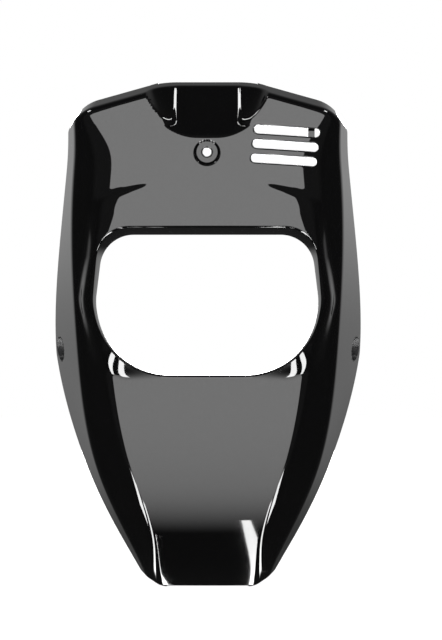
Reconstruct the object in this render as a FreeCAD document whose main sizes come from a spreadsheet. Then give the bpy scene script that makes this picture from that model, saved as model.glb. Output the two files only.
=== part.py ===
import FreeCAD, Part
import math
import os
import Sketcher

V = FreeCAD.Vector

# Frame: +X right, +Y back, +Z up, millimetres. The floor of the top screw seat is at the origin.
SIZES = {
    # shell wall; the toe leans back, so its sections are inset further to keep the wall
    "wall": 2.5,
    "ankle_wall_factor": 1.12,
    "toe_wall_factor": 1.45,
    "tip_wall_factor": 1.7,
    "crown_radius": 900.0,
    "flank_slope": 0.95,
    "rear_plane": 135.0,
    # crest level, stepped up from the shoulder to clear the roof
    "crest_step": 58.0,
    "crest_front": 10.4,
    "crest_edge_half": 127.0,
    "crest_flank_width": 12.0,
    "crest_wall_flare": 15.0,
    "crest_edge_radius": 18.0,
    "crest_side_radius": 14.0,
    # shoulder level, stepped up from the brow
    "shoulder_step": 63.0,
    "shoulder_front": 1.0,
    "shoulder_edge_half": 120.0,
    "shoulder_flank_width": 15.0,
    "shoulder_wall_flare": 18.0,
    "shoulder_edge_radius": 26.0,
    "shoulder_side_radius": 18.0,
    # brow level, measured from the top screw
    "brow_height": -26.0,
    "brow_front": -9.2,
    "brow_edge_half": 109.0,
    "brow_flank_width": 27.0,
    "brow_wall_flare": 20.0,
    "brow_edge_radius": 45.0,
    "brow_side_radius": 20.0,
    # cheek level, stepped down from the brow, where the rim is widest
    "cheek_step": 174.0,
    "cheek_front": 4.0,
    "cheek_edge_half": 103.0,
    "cheek_flank_width": 29.0,
    "cheek_wall_flare": 34.0,
    "cheek_edge_radius": 20.0,
    "cheek_side_radius": 18.0,
    # shin level, stepped down from the cheek
    "shin_step": 130.0,
    "shin_front": 16.8,
    "shin_edge_half": 76.0,
    "shin_flank_width": 33.0,
    "shin_wall_flare": 17.0,
    "shin_edge_radius": 11.0,
    "shin_side_radius": 18.0,
    # ankle level, stepped down from the shin
    "ankle_step": 58.0,
    "ankle_front": 30.0,
    "ankle_edge_half": 57.0,
    "ankle_flank_width": 26.0,
    "ankle_wall_flare": 15.0,
    "ankle_edge_radius": 16.0,
    "ankle_side_radius": 12.0,
    # toe level, stepped down from the ankle
    "toe_step": 40.0,
    "toe_front": 57.0,
    "toe_edge_half": 52.0,
    "toe_flank_width": 13.0,
    "toe_wall_flare": 12.0,
    "toe_edge_radius": 16.0,
    "toe_side_radius": 8.0,
    # tip level, stepped down from the toe to clear the sole
    "tip_step": 30.0,
    "tip_front": 96.0,
    "tip_edge_half": 48.0,
    "tip_flank_width": 9.0,
    "tip_wall_flare": 8.0,
    "tip_edge_radius": 14.0,
    "tip_side_radius": 8.0,
    # roof: the top wall, rising to the rear
    "roof_height": 62.6,
    "roof_ridge_half": 48.0,
    "roof_ridge_radius": 120.0,
    "roof_shoulder_half": 127.0,
    "roof_shoulder_drop": 23.0,
    "roof_corner_radius": 45.0,
    "roof_fall_width": 73.0,
    "roof_fall_drop": 123.4,
    "roof_rise": 0.2,
    "roof_edge_radius": 10.0,
    # reach of the tools that trim the form
    "tool_margin": 62.0,
    "tool_back": 300.0,
    "tool_half": 250.0,
    # sole: the bottom wall, stepped down from the toe
    "sole_step": 16.0,
    "sole_half": 48.0,
    "sole_corner_radius": 20.0,
    "sole_side_width": 102.0,
    "sole_side_rise": 68.0,
    # rear rim in side view
    "rim_top_depth": 75.0,
    "rim_top_rise": 5.0,
    "rim_corner_depth": 118.0,
    "rim_corner_drop": 3.0,
    "rim_corner_radius": 12.0,
    "rim_sole_depth": 88.0,
    "rim_sole_drop": 6.0,
    # headlamp bezel, raised round the opening; its peak fades into the panel above the brow
    "lamp_height": -150.0,
    "bezel_side_half": 126.0,
    "bezel_side_radius": 60.0,
    "bezel_rise": 124.0,
    "bezel_top_half": 122.0,
    "bezel_top_radius": 40.0,
    "bezel_shoulder_half": 66.0,
    "bezel_shoulder_radius": 30.0,
    "bezel_peak_half": 16.0,
    "bezel_peak_rise": 44.0,
    "bezel_peak_radius": 20.0,
    "bezel_drop": 78.0,
    "bezel_base_half": 101.0,
    "bezel_base_radius": 28.0,
    "bezel_draft": 0.1,
    "bezel_crown_radius": 1500.0,
    "bezel_crown_sweep": 20.0,
    "bezel_edge_radius": 20.0,
    "bezel_top_front": -8.6,
    "bezel_brow_rise": 76.0,
    "bezel_brow_front": -17.4,
    "bezel_brow_radius": 160.0,
    "bezel_base_front": 6.4,
    "bezel_back": 40.0,
    "bezel_margin": 70.0,
    # headlamp opening at the front plane and at the seat plane
    "opening_front": -22.0,
    "opening_front_rise": 76.0,
    "opening_front_top_half": 109.0,
    "opening_front_side_half": 117.5,
    "opening_front_drop": 78.0,
    "opening_front_base_half": 106.0,
    "opening_seat": 20.0,
    "opening_seat_rise": 65.8,
    "opening_seat_top_half": 103.0,
    "opening_seat_side_half": 111.5,
    "opening_seat_drop": 72.6,
    "opening_seat_base_half": 101.0,
    "opening_top_radius": 34.0,
    "opening_side_radius": 60.0,
    "opening_base_radius": 73.0,
    # handlebar scoop at its front and rear planes
    "scoop_front": -10.0,
    "scoop_front_floor": 2.0,
    "scoop_front_half": 36.0,
    "scoop_front_radius": 62.0,
    "scoop_front_spread": 131.0,
    "scoop_rear": 45.0,
    "scoop_rear_floor": 78.8,
    "scoop_rear_half": 63.0,
    "scoop_rear_radius": 6.0,
    "scoop_rear_spread": 92.0,
    "scoop_top": 150.0,
    "scoop_wall_factor": 1.6,
    # screw seats
    "seat_floor_radius": 10.5,
    "seat_mouth_slope": 0.45,
    "seat_reach": 10.0,
    "seat_floor": 3.0,
    "seat_cup_radius": 15.5,
    "top_hole_radius": 4.25,
    "side_hole_radius": 3.25,
    "side_seat_out": 14.0,
    "side_seat_setback": 18.0,
    "side_seat_rise": 2.0,
    "side_seat_reach": 30.0,
    "side_mouth_slope": 0.225,
    # vent slots on the right of the upper panel
    "vent_half_height": 4.3,
    "vent_tilt": 3.4,
    "vent_pitch": 14.7,
    "vent_middle_height": 6.6,
    "vent_middle_centre": 78.5,
    "vent_half_length": 33.0,
    "vent_stagger": 1.6,
    "vent_reach": 30.0,
    # headlamp screw bosses behind the bezel
    "boss_spacing_wide": 168.0,
    "boss_rise": 100.0,
    "boss_drop": 94.0,
    "boss_radius": 5.0,
    "boss_hole_radius": 1.6,
    "boss_hole_depth": 14.0,
    "boss_end": 30.0,
    "boss_length": 60.0,
    # locating tabs behind the shoulders, clear of the vents, and tongues on the top rim
    "tab_centre": 105.0,
    "tab_width": 7.0,
    "tab_thickness": 3.0,
    "tab_front": 22.0,
    "tab_clearance": 3.0,
    "tab_end": 14.0,
    "tab_length": 60.0,
    "tongue_centre": 56.0,
    "tongue_width": 9.0,
    "tongue_thickness": 1.6,
    "tongue_gap": 0.95,
    "tongue_start": 58.0,
    "tongue_length": 34.0,
    # stiffening ribs behind the lower panel
    "rib_centre": 42.0,
    "rib_thickness": 2.0,
    "rib_drop": 96.0,
    "rib_length": 104.0,
    "rib_back": 27.0,
    "rib_depth": 30.0,
}

# Shares and limits used to sort faces and to keep rounded corners inside their edges.
STRAIGHT_BACK = 0.999
UPWARD = 0.1
FORWARD_FACING = 0.9
EDGE_SHARE = 0.98

doc = FreeCAD.newDocument("front_cover")
sheet = doc.addObject("Spreadsheet::Sheet", "Sizes")
for row, (alias, number) in enumerate(SIZES.items(), start=1):
    sheet.set(f"A{row}", alias)
    sheet.set(f"B{row}", str(number))
    sheet.setAlias(f"B{row}", alias)
doc.recompute()

# Heights of the shield's levels, stepped up and down from the brow.
ABOVE = ["shoulder", "crest"]
BELOW = ["cheek", "shin", "ankle", "toe", "tip"]
LEVELS = ABOVE[::-1] + ["brow"] + BELOW
THICKENED = ("ankle", "toe", "tip")
HEIGHTS = {"brow": "Sizes.brow_height"}
for sign, levels in (("+", ABOVE), ("-", BELOW)):
    height = HEIGHTS["brow"]
    for level in levels:
        height = f"{height} {sign} Sizes.{level}_step"
        HEIGHTS[level] = height
SOLE_HEIGHT = f"{HEIGHTS['toe']} - Sizes.sole_step"
TOOL_BASE = f"{HEIGHTS['tip']} - Sizes.tool_margin"
TOOL_TOP = f"{HEIGHTS['crest']} + Sizes.tool_margin"
LAMP = "Sizes.lamp_height"
BEZEL_TOP, BEZEL_BASE = f"{LAMP} + Sizes.bezel_rise", f"{LAMP} - Sizes.bezel_drop"
BEZEL_BROW = f"{LAMP} + Sizes.bezel_brow_rise"

HORIZONTAL = FreeCAD.Rotation()
FACING_FRONT = FreeCAD.Rotation(V(1, 0, 0), 90)
FACING_SIDE = FreeCAD.Rotation(V(1, 1, 1), 120)
TO_FRONT = (V(1, 0, 0), 90)
UPRIGHT = (V(0, 0, 1), 0)
ALONG_DEPTH = ("0", "1", "0")
ACROSS = ("1", "0", "0")
RISING = ("0", "1", "Sizes.roof_rise")


def value(expression):
    """Number that an expression on the sheet gives now."""
    result = sheet.evalExpression(expression)
    return float(getattr(result, "Value", result))


def make(kind, name, **properties):
    """Document object of one kind; text is bound as an expression, other values are set."""
    item = doc.addObject(kind, name)
    for key, setting in properties.items():
        if isinstance(setting, str):
            item.setExpression(key, setting)
        else:
            setattr(item, key, setting)
    return item


def unit(vector):
    return vector / vector.Length


def arc(centre, radius, start, end):
    """Anticlockwise arc from one point to another."""
    angles = [math.atan2(point.y - centre.y, point.x - centre.x) for point in (start, end)]
    return Part.ArcOfCircle(Part.Circle(centre, V(0, 0, 1), radius), *angles)


def measure(sketch, kind, where, expression, label):
    """Add one dimension to a sketch and bind it to the sheet."""
    index = sketch.addConstraint(Sketcher.Constraint(kind, *where, value(expression)))
    sketch.renameConstraint(index, label)
    sketch.setExpression(f"Constraints.{label}", expression)


def new_sketch(name, rotation, axis, offset):
    """Sketch on a plane turned from horizontal and moved along one axis of the frame."""
    sketch = doc.addObject("Sketcher::SketchObject", name)
    sketch.Placement = FreeCAD.Placement(V(), rotation)
    sketch.setExpression(f"Placement.Base.{axis}", offset)
    return sketch


def keep_off(sketch, mark, edge, gap, label):
    """Hold a straight edge on a mark, or a gap away from it."""
    if gap:
        measure(sketch, "Distance", (mark, 1, edge), f"abs({gap})", label)
    else:
        sketch.addConstraint(Sketcher.Constraint("PointOnObject", mark, 1, edge))


def fitted_radii(corners, ahead, places, shift):
    """Radius expression and size of each corner, less where its edges are too short for it."""
    count = len(places)
    words, bends, trims = [], [], []
    for index, (_, _, radius) in enumerate(corners):
        turn = ahead[index - 1].cross(ahead[index]).z
        grown = shift if turn > 0 else -shift
        bend = value(radius) + grown if radius else 0.0
        bends.append(bend)
        trims.append(bend * math.tan(ahead[index - 1].getAngle(ahead[index]) / 2))
    shares = []
    for index in range(count):
        after = (index + 1) % count
        room = EDGE_SHARE * (places[after] - places[index]).Length
        shares.append(min(1.0, room / max(trims[index] + trims[after], room)))
    for index, (_, _, radius) in enumerate(corners):
        share = min(shares[index - 1], shares[index])
        bends[index] *= share
        trims[index] *= share
        words.append((radius, share))
    return words, bends, trims


def rounded_outline(name, rotation, axis, offset, corners, grow=None):
    """Closed outline of lines with rounded corners, given anticlockwise as (x, y, radius or None).

    With grow, the outline is drawn that far outside its corners (inside, if negative).
    """
    sketch = new_sketch(name, rotation, axis, offset)
    marks = [V(value(x), value(y), 0) for x, y, _ in corners]
    count = len(marks)
    shift = value(grow) if grow else 0.0
    ahead = [unit(marks[(index + 1) % count] - marks[index]) for index in range(count)]
    moved = [mark + V(way.y, -way.x, 0) * shift for mark, way in zip(marks, ahead)]
    places = []
    for index in range(count):
        before, after = ahead[index - 1], ahead[index]
        reach = (moved[index - 1] - moved[index]).cross(before).z / after.cross(before).z
        places.append(moved[index] + after * reach)
    words, bends, trims = fitted_radii(corners, ahead, places, shift)
    starts = [place - ahead[index - 1] * trims[index] for index, place in enumerate(places)]
    ends = [place + ahead[index] * trims[index] for index, place in enumerate(places)]
    for index in range(count):
        sketch.addGeometry(Part.LineSegment(ends[index], starts[(index + 1) % count]))
    link = Sketcher.Constraint
    for index, (x, y, _) in enumerate(corners):
        into, out = (index - 1) % count, index
        radius, share = words[index]
        if radius:
            left = ahead[into].cross(ahead[out]).z > 0
            side = V(-ahead[into].y, ahead[into].x, 0) * (1 if left else -1)
            centre = starts[index] + side * bends[index]
            first, last = (starts[index], ends[index]) if left else (ends[index], starts[index])
            curve = sketch.addGeometry(arc(centre, bends[index], first, last))
            near, far = (1, 2) if left else (2, 1)
            sketch.addConstraint(link("Tangent", into, 2, curve, near))
            sketch.addConstraint(link("Tangent", curve, far, out, 1))
            full = f"{radius} {'+' if left else '-'} ({grow})" if grow else radius
            fitted = full if share == 1.0 else f"({full}) * {share}"
            measure(sketch, "Radius", (curve,), fitted, f"radius_{index}")
        else:
            sketch.addConstraint(link("Coincident", into, 2, out, 1))
        mark = sketch.addGeometry(Part.Point(marks[index]), True)
        measure(sketch, "DistanceX", (mark, 1), x, f"across_{index}")
        measure(sketch, "DistanceY", (mark, 1), y, f"up_{index}")
        keep_off(sketch, mark, into, grow, f"into_{index}")
        keep_off(sketch, mark, out, grow, f"out_{index}")
    return sketch


def mirrored(half):
    """Full outline, anticlockwise, from its right half listed from the bottom up."""
    return half + [(f"-({x})", y, radius) for x, y, radius in reversed(half)]


def level_sketch(level, inset=None):
    """Horizontal section of the shield: crown arc, edge rolls, flanks, side rolls, walls, rear line."""
    cell = lambda word: f"Sizes.{level}_{word}"
    edge, front, crown = cell("edge_half"), cell("front"), "Sizes.crown_radius"
    side = f"{edge} + {cell('flank_width')}"
    edge_depth = f"{front} + {crown} - sqrt({crown} ^ 2 - {edge} ^ 2)"
    side_depth = f"{edge_depth} + {cell('flank_width')} * Sizes.flank_slope"
    rear_half = f"{side} + {cell('wall_flare')}"
    less = f" - {inset}" if inset else ""
    crown_word, edge_word, side_word = crown + less, cell("edge_radius") + less, cell("side_radius") + less
    shift = value(inset) if inset else 0.0
    crown_radius, edge_radius, side_radius = value(crown_word), value(edge_word), value(side_word)

    centre = V(0, value(front) + value(crown), 0)
    corner = V(value(edge), value(edge_depth), 0)
    turn_out = V(value(side), value(side_depth), 0)
    rear = V(value(rear_half), value("Sizes.rear_plane"), 0)
    along, back = unit(turn_out - corner), unit(rear - turn_out)
    inward, wall_inward = V(-along.y, along.x, 0), V(-back.y, back.x, 0)
    # the edge roll touches the crown arc from inside and the flank
    base = corner + inward * (edge_radius + shift) - centre
    reach = math.sqrt(base.dot(along) ** 2 - base.dot(base) + (crown_radius - edge_radius) ** 2)
    roll = centre + base - along * (reach + base.dot(along))
    on_crown = centre + unit(roll - centre) * crown_radius
    on_flank = roll - inward * edge_radius
    # the side roll touches the flank and the wall
    trim = (side_radius + shift) * math.tan(along.getAngle(back) / 2)
    side_roll = turn_out - along * trim + inward * (side_radius + shift)
    leave, meet = side_roll - inward * side_radius, side_roll - wall_inward * side_radius
    end = meet + back * ((rear.y - meet.y) / back.y)
    flip = lambda point: V(-point.x, point.y, 0)

    name = f"{level}_core_section" if inset else f"{level}_section"
    sketch = new_sketch(name, HORIZONTAL, "z", HEIGHTS[level])
    sketch.addGeometry([
        arc(centre, crown_radius, flip(on_crown), on_crown),
        arc(roll, edge_radius, on_crown, on_flank),
        Part.LineSegment(on_flank, leave),
        arc(side_roll, side_radius, leave, meet),
        Part.LineSegment(meet, end),
        Part.LineSegment(end, flip(end)),
        Part.LineSegment(flip(end), flip(meet)),
        arc(flip(side_roll), side_radius, flip(meet), flip(leave)),
        Part.LineSegment(flip(leave), flip(on_flank)),
        arc(flip(roll), edge_radius, flip(on_flank), flip(on_crown)),
    ])
    sketch.addGeometry([Part.Point(corner), Part.Point(turn_out), Part.Point(rear)], True)
    link = Sketcher.Constraint
    smooth = ((0, 1), (1, 2), (2, 3), (3, 4), (6, 7), (7, 8), (8, 9), (9, 0))
    sketch.addConstraint([link("Tangent", one, 2, other, 1) for one, other in smooth])
    sketch.addConstraint([link("Coincident", 4, 2, 5, 1), link("Coincident", 5, 2, 6, 1)])
    even = ((0, 1, 0, 2), (2, 1, 8, 2), (4, 1, 6, 2), (5, 1, 5, 2))
    sketch.addConstraint([link("Symmetric", *ends, -2) for ends in even])
    measure(sketch, "Radius", (0,), crown_word, "crown")
    measure(sketch, "DistanceY", (0, 3), f"{front} + {crown}", "crown_centre")
    measure(sketch, "Radius", (1,), edge_word, "edge_roll")
    measure(sketch, "Radius", (3,), side_word, "side_roll")
    for mark, across, depth, label in ((10, edge, edge_depth, "edge"), (11, side, side_depth, "side"),
                                       (12, rear_half, "Sizes.rear_plane", "rear")):
        measure(sketch, "DistanceX", (mark, 1), across, f"{label}_across")
        measure(sketch, "DistanceY", (mark, 1), depth, f"{label}_depth")
    for mark, line in ((10, 2), (11, 2), (11, 4), (12, 4)):
        keep_off(sketch, mark, line, inset, f"inset_{mark}_{line}")
    measure(sketch, "DistanceY", (4, 2), "Sizes.rear_plane", "end_depth")
    return sketch


def level_wall(level):
    """Wall of the shell at one level, as an expression."""
    return f"Sizes.wall * Sizes.{level}_wall_factor" if level in THICKENED else "Sizes.wall"


def loft(name, sections, ruled):
    return make("Part::Loft", name, Sections=sections, Solid=True, Ruled=ruled)


def extrude(name, base, direction, forward, backward="0"):
    """Solid carried along a direction given as three expressions."""
    solid = make("Part::Extrusion", name, Base=base, Solid=True)
    solid.DirMode = "Custom"
    for part, word in zip("xyz", direction):
        solid.setExpression(f"Dir.{part}", word)
    solid.setExpression("LengthFwd", forward)
    solid.setExpression("LengthRev", backward)
    return solid


def join(name, shapes):
    return make("Part::MultiFuse", name, Shapes=shapes)


def cut(name, base, tool):
    return make("Part::Cut", name, Base=base, Tool=tool)


def common(name, shapes):
    return make("Part::MultiCommon", name, Shapes=shapes)


def middle_normal(face):
    u_low, u_high, v_low, v_high = face.ParameterRange
    return face.normalAt((u_low + u_high) / 2, (v_low + v_high) / 2)


def face_kind(face):
    """Sort the faces of the panel before its edge is rounded: loft skin, flat back, roof or base."""
    normal = middle_normal(face)
    if abs(normal.y) > STRAIGHT_BACK and face.CenterOfMass.y > 0:
        return "back"
    if face.Surface.TypeId == "Part::GeomBSplineSurface":
        return "skin"
    return "roof" if normal.z > UPWARD else "base"


def roof_edge(one, other):
    """Edge between the roof and the skin."""
    return sorted((face_kind(one), face_kind(other))) == ["roof", "skin"]


def front_edge(one, other):
    """Edge between the revolved front of the bezel and its drafted side."""
    facing_forward = [middle_normal(face).y < -FORWARD_FACING for face in (one, other)]
    return sorted(facing_forward) == [False, True]


def rounded(name, base, radius, wanted):
    """Body that takes a form and rounds the edges between two kinds of its faces."""
    doc.recompute()
    body = doc.addObject("PartDesign::Body", f"{name}_body")
    body.BaseFeature = base
    doc.recompute()
    start = body.Group[0]
    shape = start.Shape
    edges = [f"Edge{index}" for index, edge in enumerate(shape.Edges, start=1)
             if wanted(*shape.ancestorsOfType(edge, Part.Face))]
    fillet = body.newObject("PartDesign::Fillet", name)
    fillet.Base = (start, edges)
    fillet.setExpression("Radius", radius)
    doc.recompute()
    return body


def facing(name, depth, half, grow=None):
    """Outline seen from the front, on a plane at one depth."""
    return rounded_outline(name, FACING_FRONT, "y", depth, mirrored(half), grow)


ROOF_FALL = "Sizes.roof_shoulder_half + Sizes.roof_fall_width"
ROOF_SHOULDER = "Sizes.roof_height - Sizes.roof_shoulder_drop"
ROOF = [
    (ROOF_FALL, TOOL_BASE, None),
    (ROOF_FALL, f"{ROOF_SHOULDER} - Sizes.roof_fall_drop", None),
    ("Sizes.roof_shoulder_half", ROOF_SHOULDER, "Sizes.roof_corner_radius"),
    ("Sizes.roof_ridge_half", "Sizes.roof_height", "Sizes.roof_ridge_radius"),
]
BEZEL = [
    ("Sizes.bezel_base_half", BEZEL_BASE, "Sizes.bezel_base_radius"),
    ("Sizes.bezel_side_half", LAMP, "Sizes.bezel_side_radius"),
    ("Sizes.bezel_top_half", BEZEL_TOP, "Sizes.bezel_top_radius"),
    ("Sizes.bezel_shoulder_half", BEZEL_TOP, "Sizes.bezel_shoulder_radius"),
    ("Sizes.bezel_peak_half", f"{BEZEL_TOP} + Sizes.bezel_peak_rise", "Sizes.bezel_peak_radius"),
]
TOP_LEAN = "(Sizes.bezel_top_front - Sizes.bezel_brow_front) / (Sizes.bezel_rise - Sizes.bezel_brow_rise)"
BASE_LEAN = "(Sizes.bezel_base_front - Sizes.bezel_brow_front) / (Sizes.bezel_brow_rise + Sizes.bezel_drop)"
BEZEL_LOW, BEZEL_HIGH = f"{BEZEL_BASE} - Sizes.bezel_margin", f"{BEZEL_TOP} + Sizes.bezel_margin"
BEZEL_REAR = "Sizes.bezel_back + Sizes.bezel_margin"
BEZEL_SIDE_VIEW = [
    (f"Sizes.bezel_base_front + Sizes.bezel_margin * {BASE_LEAN}", BEZEL_LOW, None),
    (BEZEL_REAR, BEZEL_LOW, None),
    (BEZEL_REAR, BEZEL_HIGH, None),
    (f"Sizes.bezel_top_front + Sizes.bezel_margin * {TOP_LEAN}", BEZEL_HIGH, None),
    ("Sizes.bezel_brow_front", BEZEL_BROW, "Sizes.bezel_brow_radius"),
]
SOLE_SIDE = "Sizes.sole_half + Sizes.sole_side_width"
SOLE = [
    (SOLE_SIDE, TOOL_BASE, None),
    (SOLE_SIDE, f"{SOLE_HEIGHT} + Sizes.sole_side_rise", None),
    ("Sizes.sole_half", SOLE_HEIGHT, "Sizes.sole_corner_radius"),
]
RIM_SIDE_VIEW = [
    ("Sizes.rim_sole_depth", TOOL_BASE, None),
    ("Sizes.tool_back", TOOL_BASE, None),
    ("Sizes.tool_back", TOOL_TOP, None),
    ("Sizes.rim_top_depth", TOOL_TOP, None),
    ("Sizes.rim_top_depth", f"{HEIGHTS['crest']} + Sizes.rim_top_rise", None),
    ("Sizes.rim_corner_depth", f"{HEIGHTS['cheek']} - Sizes.rim_corner_drop", "Sizes.rim_corner_radius"),
    ("Sizes.rim_sole_depth", f"{SOLE_HEIGHT} - Sizes.rim_sole_drop", None),
]


def scoop_end(end):
    """Right half of the scoop's outline at its front or rear plane."""
    return [(f"Sizes.scoop_{end}_half", f"Sizes.scoop_{end}_floor", f"Sizes.scoop_{end}_radius"),
            (f"Sizes.scoop_{end}_spread", "Sizes.scoop_top", None)]


def opening_end(end):
    """Right half of the headlamp opening's outline at its front or seat plane."""
    base, top = f"{LAMP} - Sizes.opening_{end}_drop", f"{LAMP} + Sizes.opening_{end}_rise"
    return [(f"Sizes.opening_{end}_base_half", base, "Sizes.opening_base_radius"),
            (f"Sizes.opening_{end}_side_half", LAMP, "Sizes.opening_side_radius"),
            (f"Sizes.opening_{end}_top_half", top, "Sizes.opening_top_radius")]


def opening_loft(name, grow=None):
    """Form of the headlamp opening between its two planes, or grown by a wall."""
    ends = [facing(f"{name}_{end}_outline", f"Sizes.opening_{end}", opening_end(end), grow)
            for end in ("front", "seat")]
    return loft(name, ends, True)


def build_form(name, wall=None):
    """Solid inside one skin of the shell: the outer skin, or the inner one set in by the wall."""
    tag = lambda word: f"{name}_{word}"
    inset = f"-{wall}" if wall else None
    less = f" - {wall}" if wall else ""
    sections = [level_sketch(level, level_wall(level) if wall else None) for level in LEVELS]
    shield = loft(tag("shield"), sections, False)
    roof = extrude(tag("roof"), facing(tag("roof_outline"), "0", ROOF, inset), RISING,
                   "Sizes.rear_plane * 2", "Sizes.rear_plane")
    panel = rounded(tag("roof_edge"), common(tag("panel"), [shield, roof]),
                    f"Sizes.roof_edge_radius{less}", roof_edge)
    draft = "Sizes.bezel_draft * Sizes.bezel_back"
    block = loft(tag("bezel_block"), [
        facing(tag("bezel_front"), "-Sizes.bezel_back", BEZEL, f"-{draft}{less}"),
        facing(tag("bezel_rear"), "Sizes.bezel_back", BEZEL, f"{draft}{less}")], True)
    profile = rounded_outline(tag("bezel_profile"), FACING_SIDE, "x", "0", BEZEL_SIDE_VIEW, inset)
    front = make("Part::Revolution", tag("bezel_crown"), Source=profile, Axis=V(0, 0, 1), Symmetric=True,
                 Solid=True, Angle="Sizes.bezel_crown_sweep")
    front.setExpression("Base.y", "Sizes.bezel_crown_radius")
    bezel = rounded(tag("bezel_edge"), common(tag("bezel"), [block, front]),
                    f"Sizes.bezel_edge_radius{less}", front_edge)
    deeper = f"Sizes.scoop_wall_factor * {wall}" if wall else None
    scoop = loft(tag("scoop"), [facing(tag(f"scoop_{end}"), f"Sizes.scoop_{end}", scoop_end(end), deeper)
                                for end in ("front", "rear")], True)
    sole = extrude(tag("sole"), facing(tag("sole_outline"), "0", SOLE, wall), ALONG_DEPTH, "Sizes.tool_back")
    return cut(name, join(tag("raised"), [panel, bezel]), join(tag("cuts"), [scoop, sole]))


def turned(axis, angle, x="0", y="0", z="0"):
    """Placement turned about one axis, with its place bound to the sheet."""
    return {"Placement": FreeCAD.Placement(V(), FreeCAD.Rotation(axis, angle)),
            "Placement.Base.x": x, "Placement.Base.y": y, "Placement.Base.z": z}


def rod(name, radius, length, place):
    return make("Part::Cylinder", name, Radius=radius, Height=length, **place)


def recess(name, slope, reach, place):
    """Coned recess that widens from a seat's floor."""
    mouth = f"Sizes.seat_floor_radius + {slope} * {reach}"
    return make("Part::Cone", name, Radius1="Sizes.seat_floor_radius", Radius2=mouth, Height=reach, **place)


def plate(name, width, depth, height, place):
    return make("Part::Box", name, Length=width, Width=depth, Height=height, **place)


def vent(name, step):
    """Slot with round ends, cut from in front of the panel back to the tabs."""
    outline = new_sketch(f"{name}_outline", FACING_FRONT, "y", "0")
    tilt = FreeCAD.Rotation(V(0, 0, 1), -value("Sizes.vent_tilt"))
    outline.Placement.Rotation = FACING_FRONT.multiply(tilt)
    outline.setExpression("Placement.Base.x", f"Sizes.vent_middle_centre + {step} * Sizes.vent_stagger")
    outline.setExpression("Placement.Base.z", f"Sizes.vent_middle_height + {step} * Sizes.vent_pitch")
    half, straight = value("Sizes.vent_half_height"), value("Sizes.vent_half_length - Sizes.vent_half_height")
    outline.addGeometry([
        Part.LineSegment(V(-straight, -half, 0), V(straight, -half, 0)),
        arc(V(straight, 0, 0), half, V(straight, -half, 0), V(straight, half, 0)),
        Part.LineSegment(V(straight, half, 0), V(-straight, half, 0)),
        arc(V(-straight, 0, 0), half, V(-straight, half, 0), V(-straight, -half, 0)),
    ])
    link = Sketcher.Constraint
    outline.addConstraint([link("Tangent", one, 2, (one + 1) % 4, 1) for one in range(4)])
    outline.addConstraint([link("Horizontal", 0), link("Symmetric", 1, 3, 3, 3, -1, 1)])
    length = "2 * (Sizes.vent_half_length - Sizes.vent_half_height)"
    measure(outline, "Radius", (1,), "Sizes.vent_half_height", "half_height")
    measure(outline, "DistanceX", (3, 3, 1, 3), length, "straight")
    return extrude(name, outline, ALONG_DEPTH, "Sizes.tab_front - Sizes.tab_clearance", "Sizes.vent_reach")


def tongue_corner(side, below):
    """Corner of the right tongue's outline, measured down from the roof."""
    across = f"Sizes.tongue_centre {side} Sizes.tongue_width / 2"
    pitch = "Sizes.roof_shoulder_drop / (Sizes.roof_shoulder_half - Sizes.roof_ridge_half)"
    roof_there = f"Sizes.roof_height - ({across} - Sizes.roof_ridge_half) * {pitch}"
    return across, f"{roof_there} + Sizes.roof_rise * Sizes.tongue_start - Sizes.tongue_gap{below}", None


SIDES = (("right", "", 90), ("left", "-", -90))

outer = build_form("outer")
shell = cut("shell", outer, build_form("inner", "Sizes.wall"))
rim = extrude("rim", rounded_outline("rim_outline", FACING_SIDE, "x", "0", RIM_SIDE_VIEW), ACROSS,
              "Sizes.tool_half", "Sizes.tool_half")

# headlamp opening and its flange, back to the seat plane
tools = [rim, opening_loft("opening")]
fills = [opening_loft("flange", "Sizes.wall")]

# screw seats: a cup behind the wall, a coned recess in front, a hole through the floor
fills.append(rod("top_cup", "Sizes.seat_cup_radius", "Sizes.seat_reach + Sizes.seat_floor",
                 turned(*TO_FRONT, y="Sizes.seat_floor")))
tools.append(recess("top_recess", "Sizes.seat_mouth_slope", "Sizes.seat_reach", turned(*TO_FRONT)))
tools.append(rod("top_hole", "Sizes.top_hole_radius", "Sizes.seat_reach * 2",
                 turned(*TO_FRONT, y="Sizes.seat_reach")))
seat_out = "Sizes.cheek_edge_half + Sizes.cheek_flank_width + Sizes.side_seat_out"
seat_depth = "Sizes.rim_corner_depth - Sizes.side_seat_setback"
seat_height = f"{HEIGHTS['cheek']} + Sizes.side_seat_rise"
for side, sign, turn in SIDES:
    place = lambda inward: turned(V(0, 1, 0), turn, f"{sign}({seat_out} - {inward})", seat_depth, seat_height)
    fills.append(rod(f"{side}_cup", "Sizes.seat_cup_radius", "Sizes.side_seat_reach",
                     place("Sizes.seat_floor")))
    tools.append(recess(f"{side}_recess", "Sizes.side_mouth_slope", "Sizes.side_seat_reach", place("0")))
    tools.append(rod(f"{side}_hole", "Sizes.side_hole_radius", "Sizes.side_seat_reach",
                     place("Sizes.side_seat_reach / 2")))

tools += [vent("upper_vent", "1"), vent("middle_vent", "0"), vent("lower_vent", "-1")]

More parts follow.
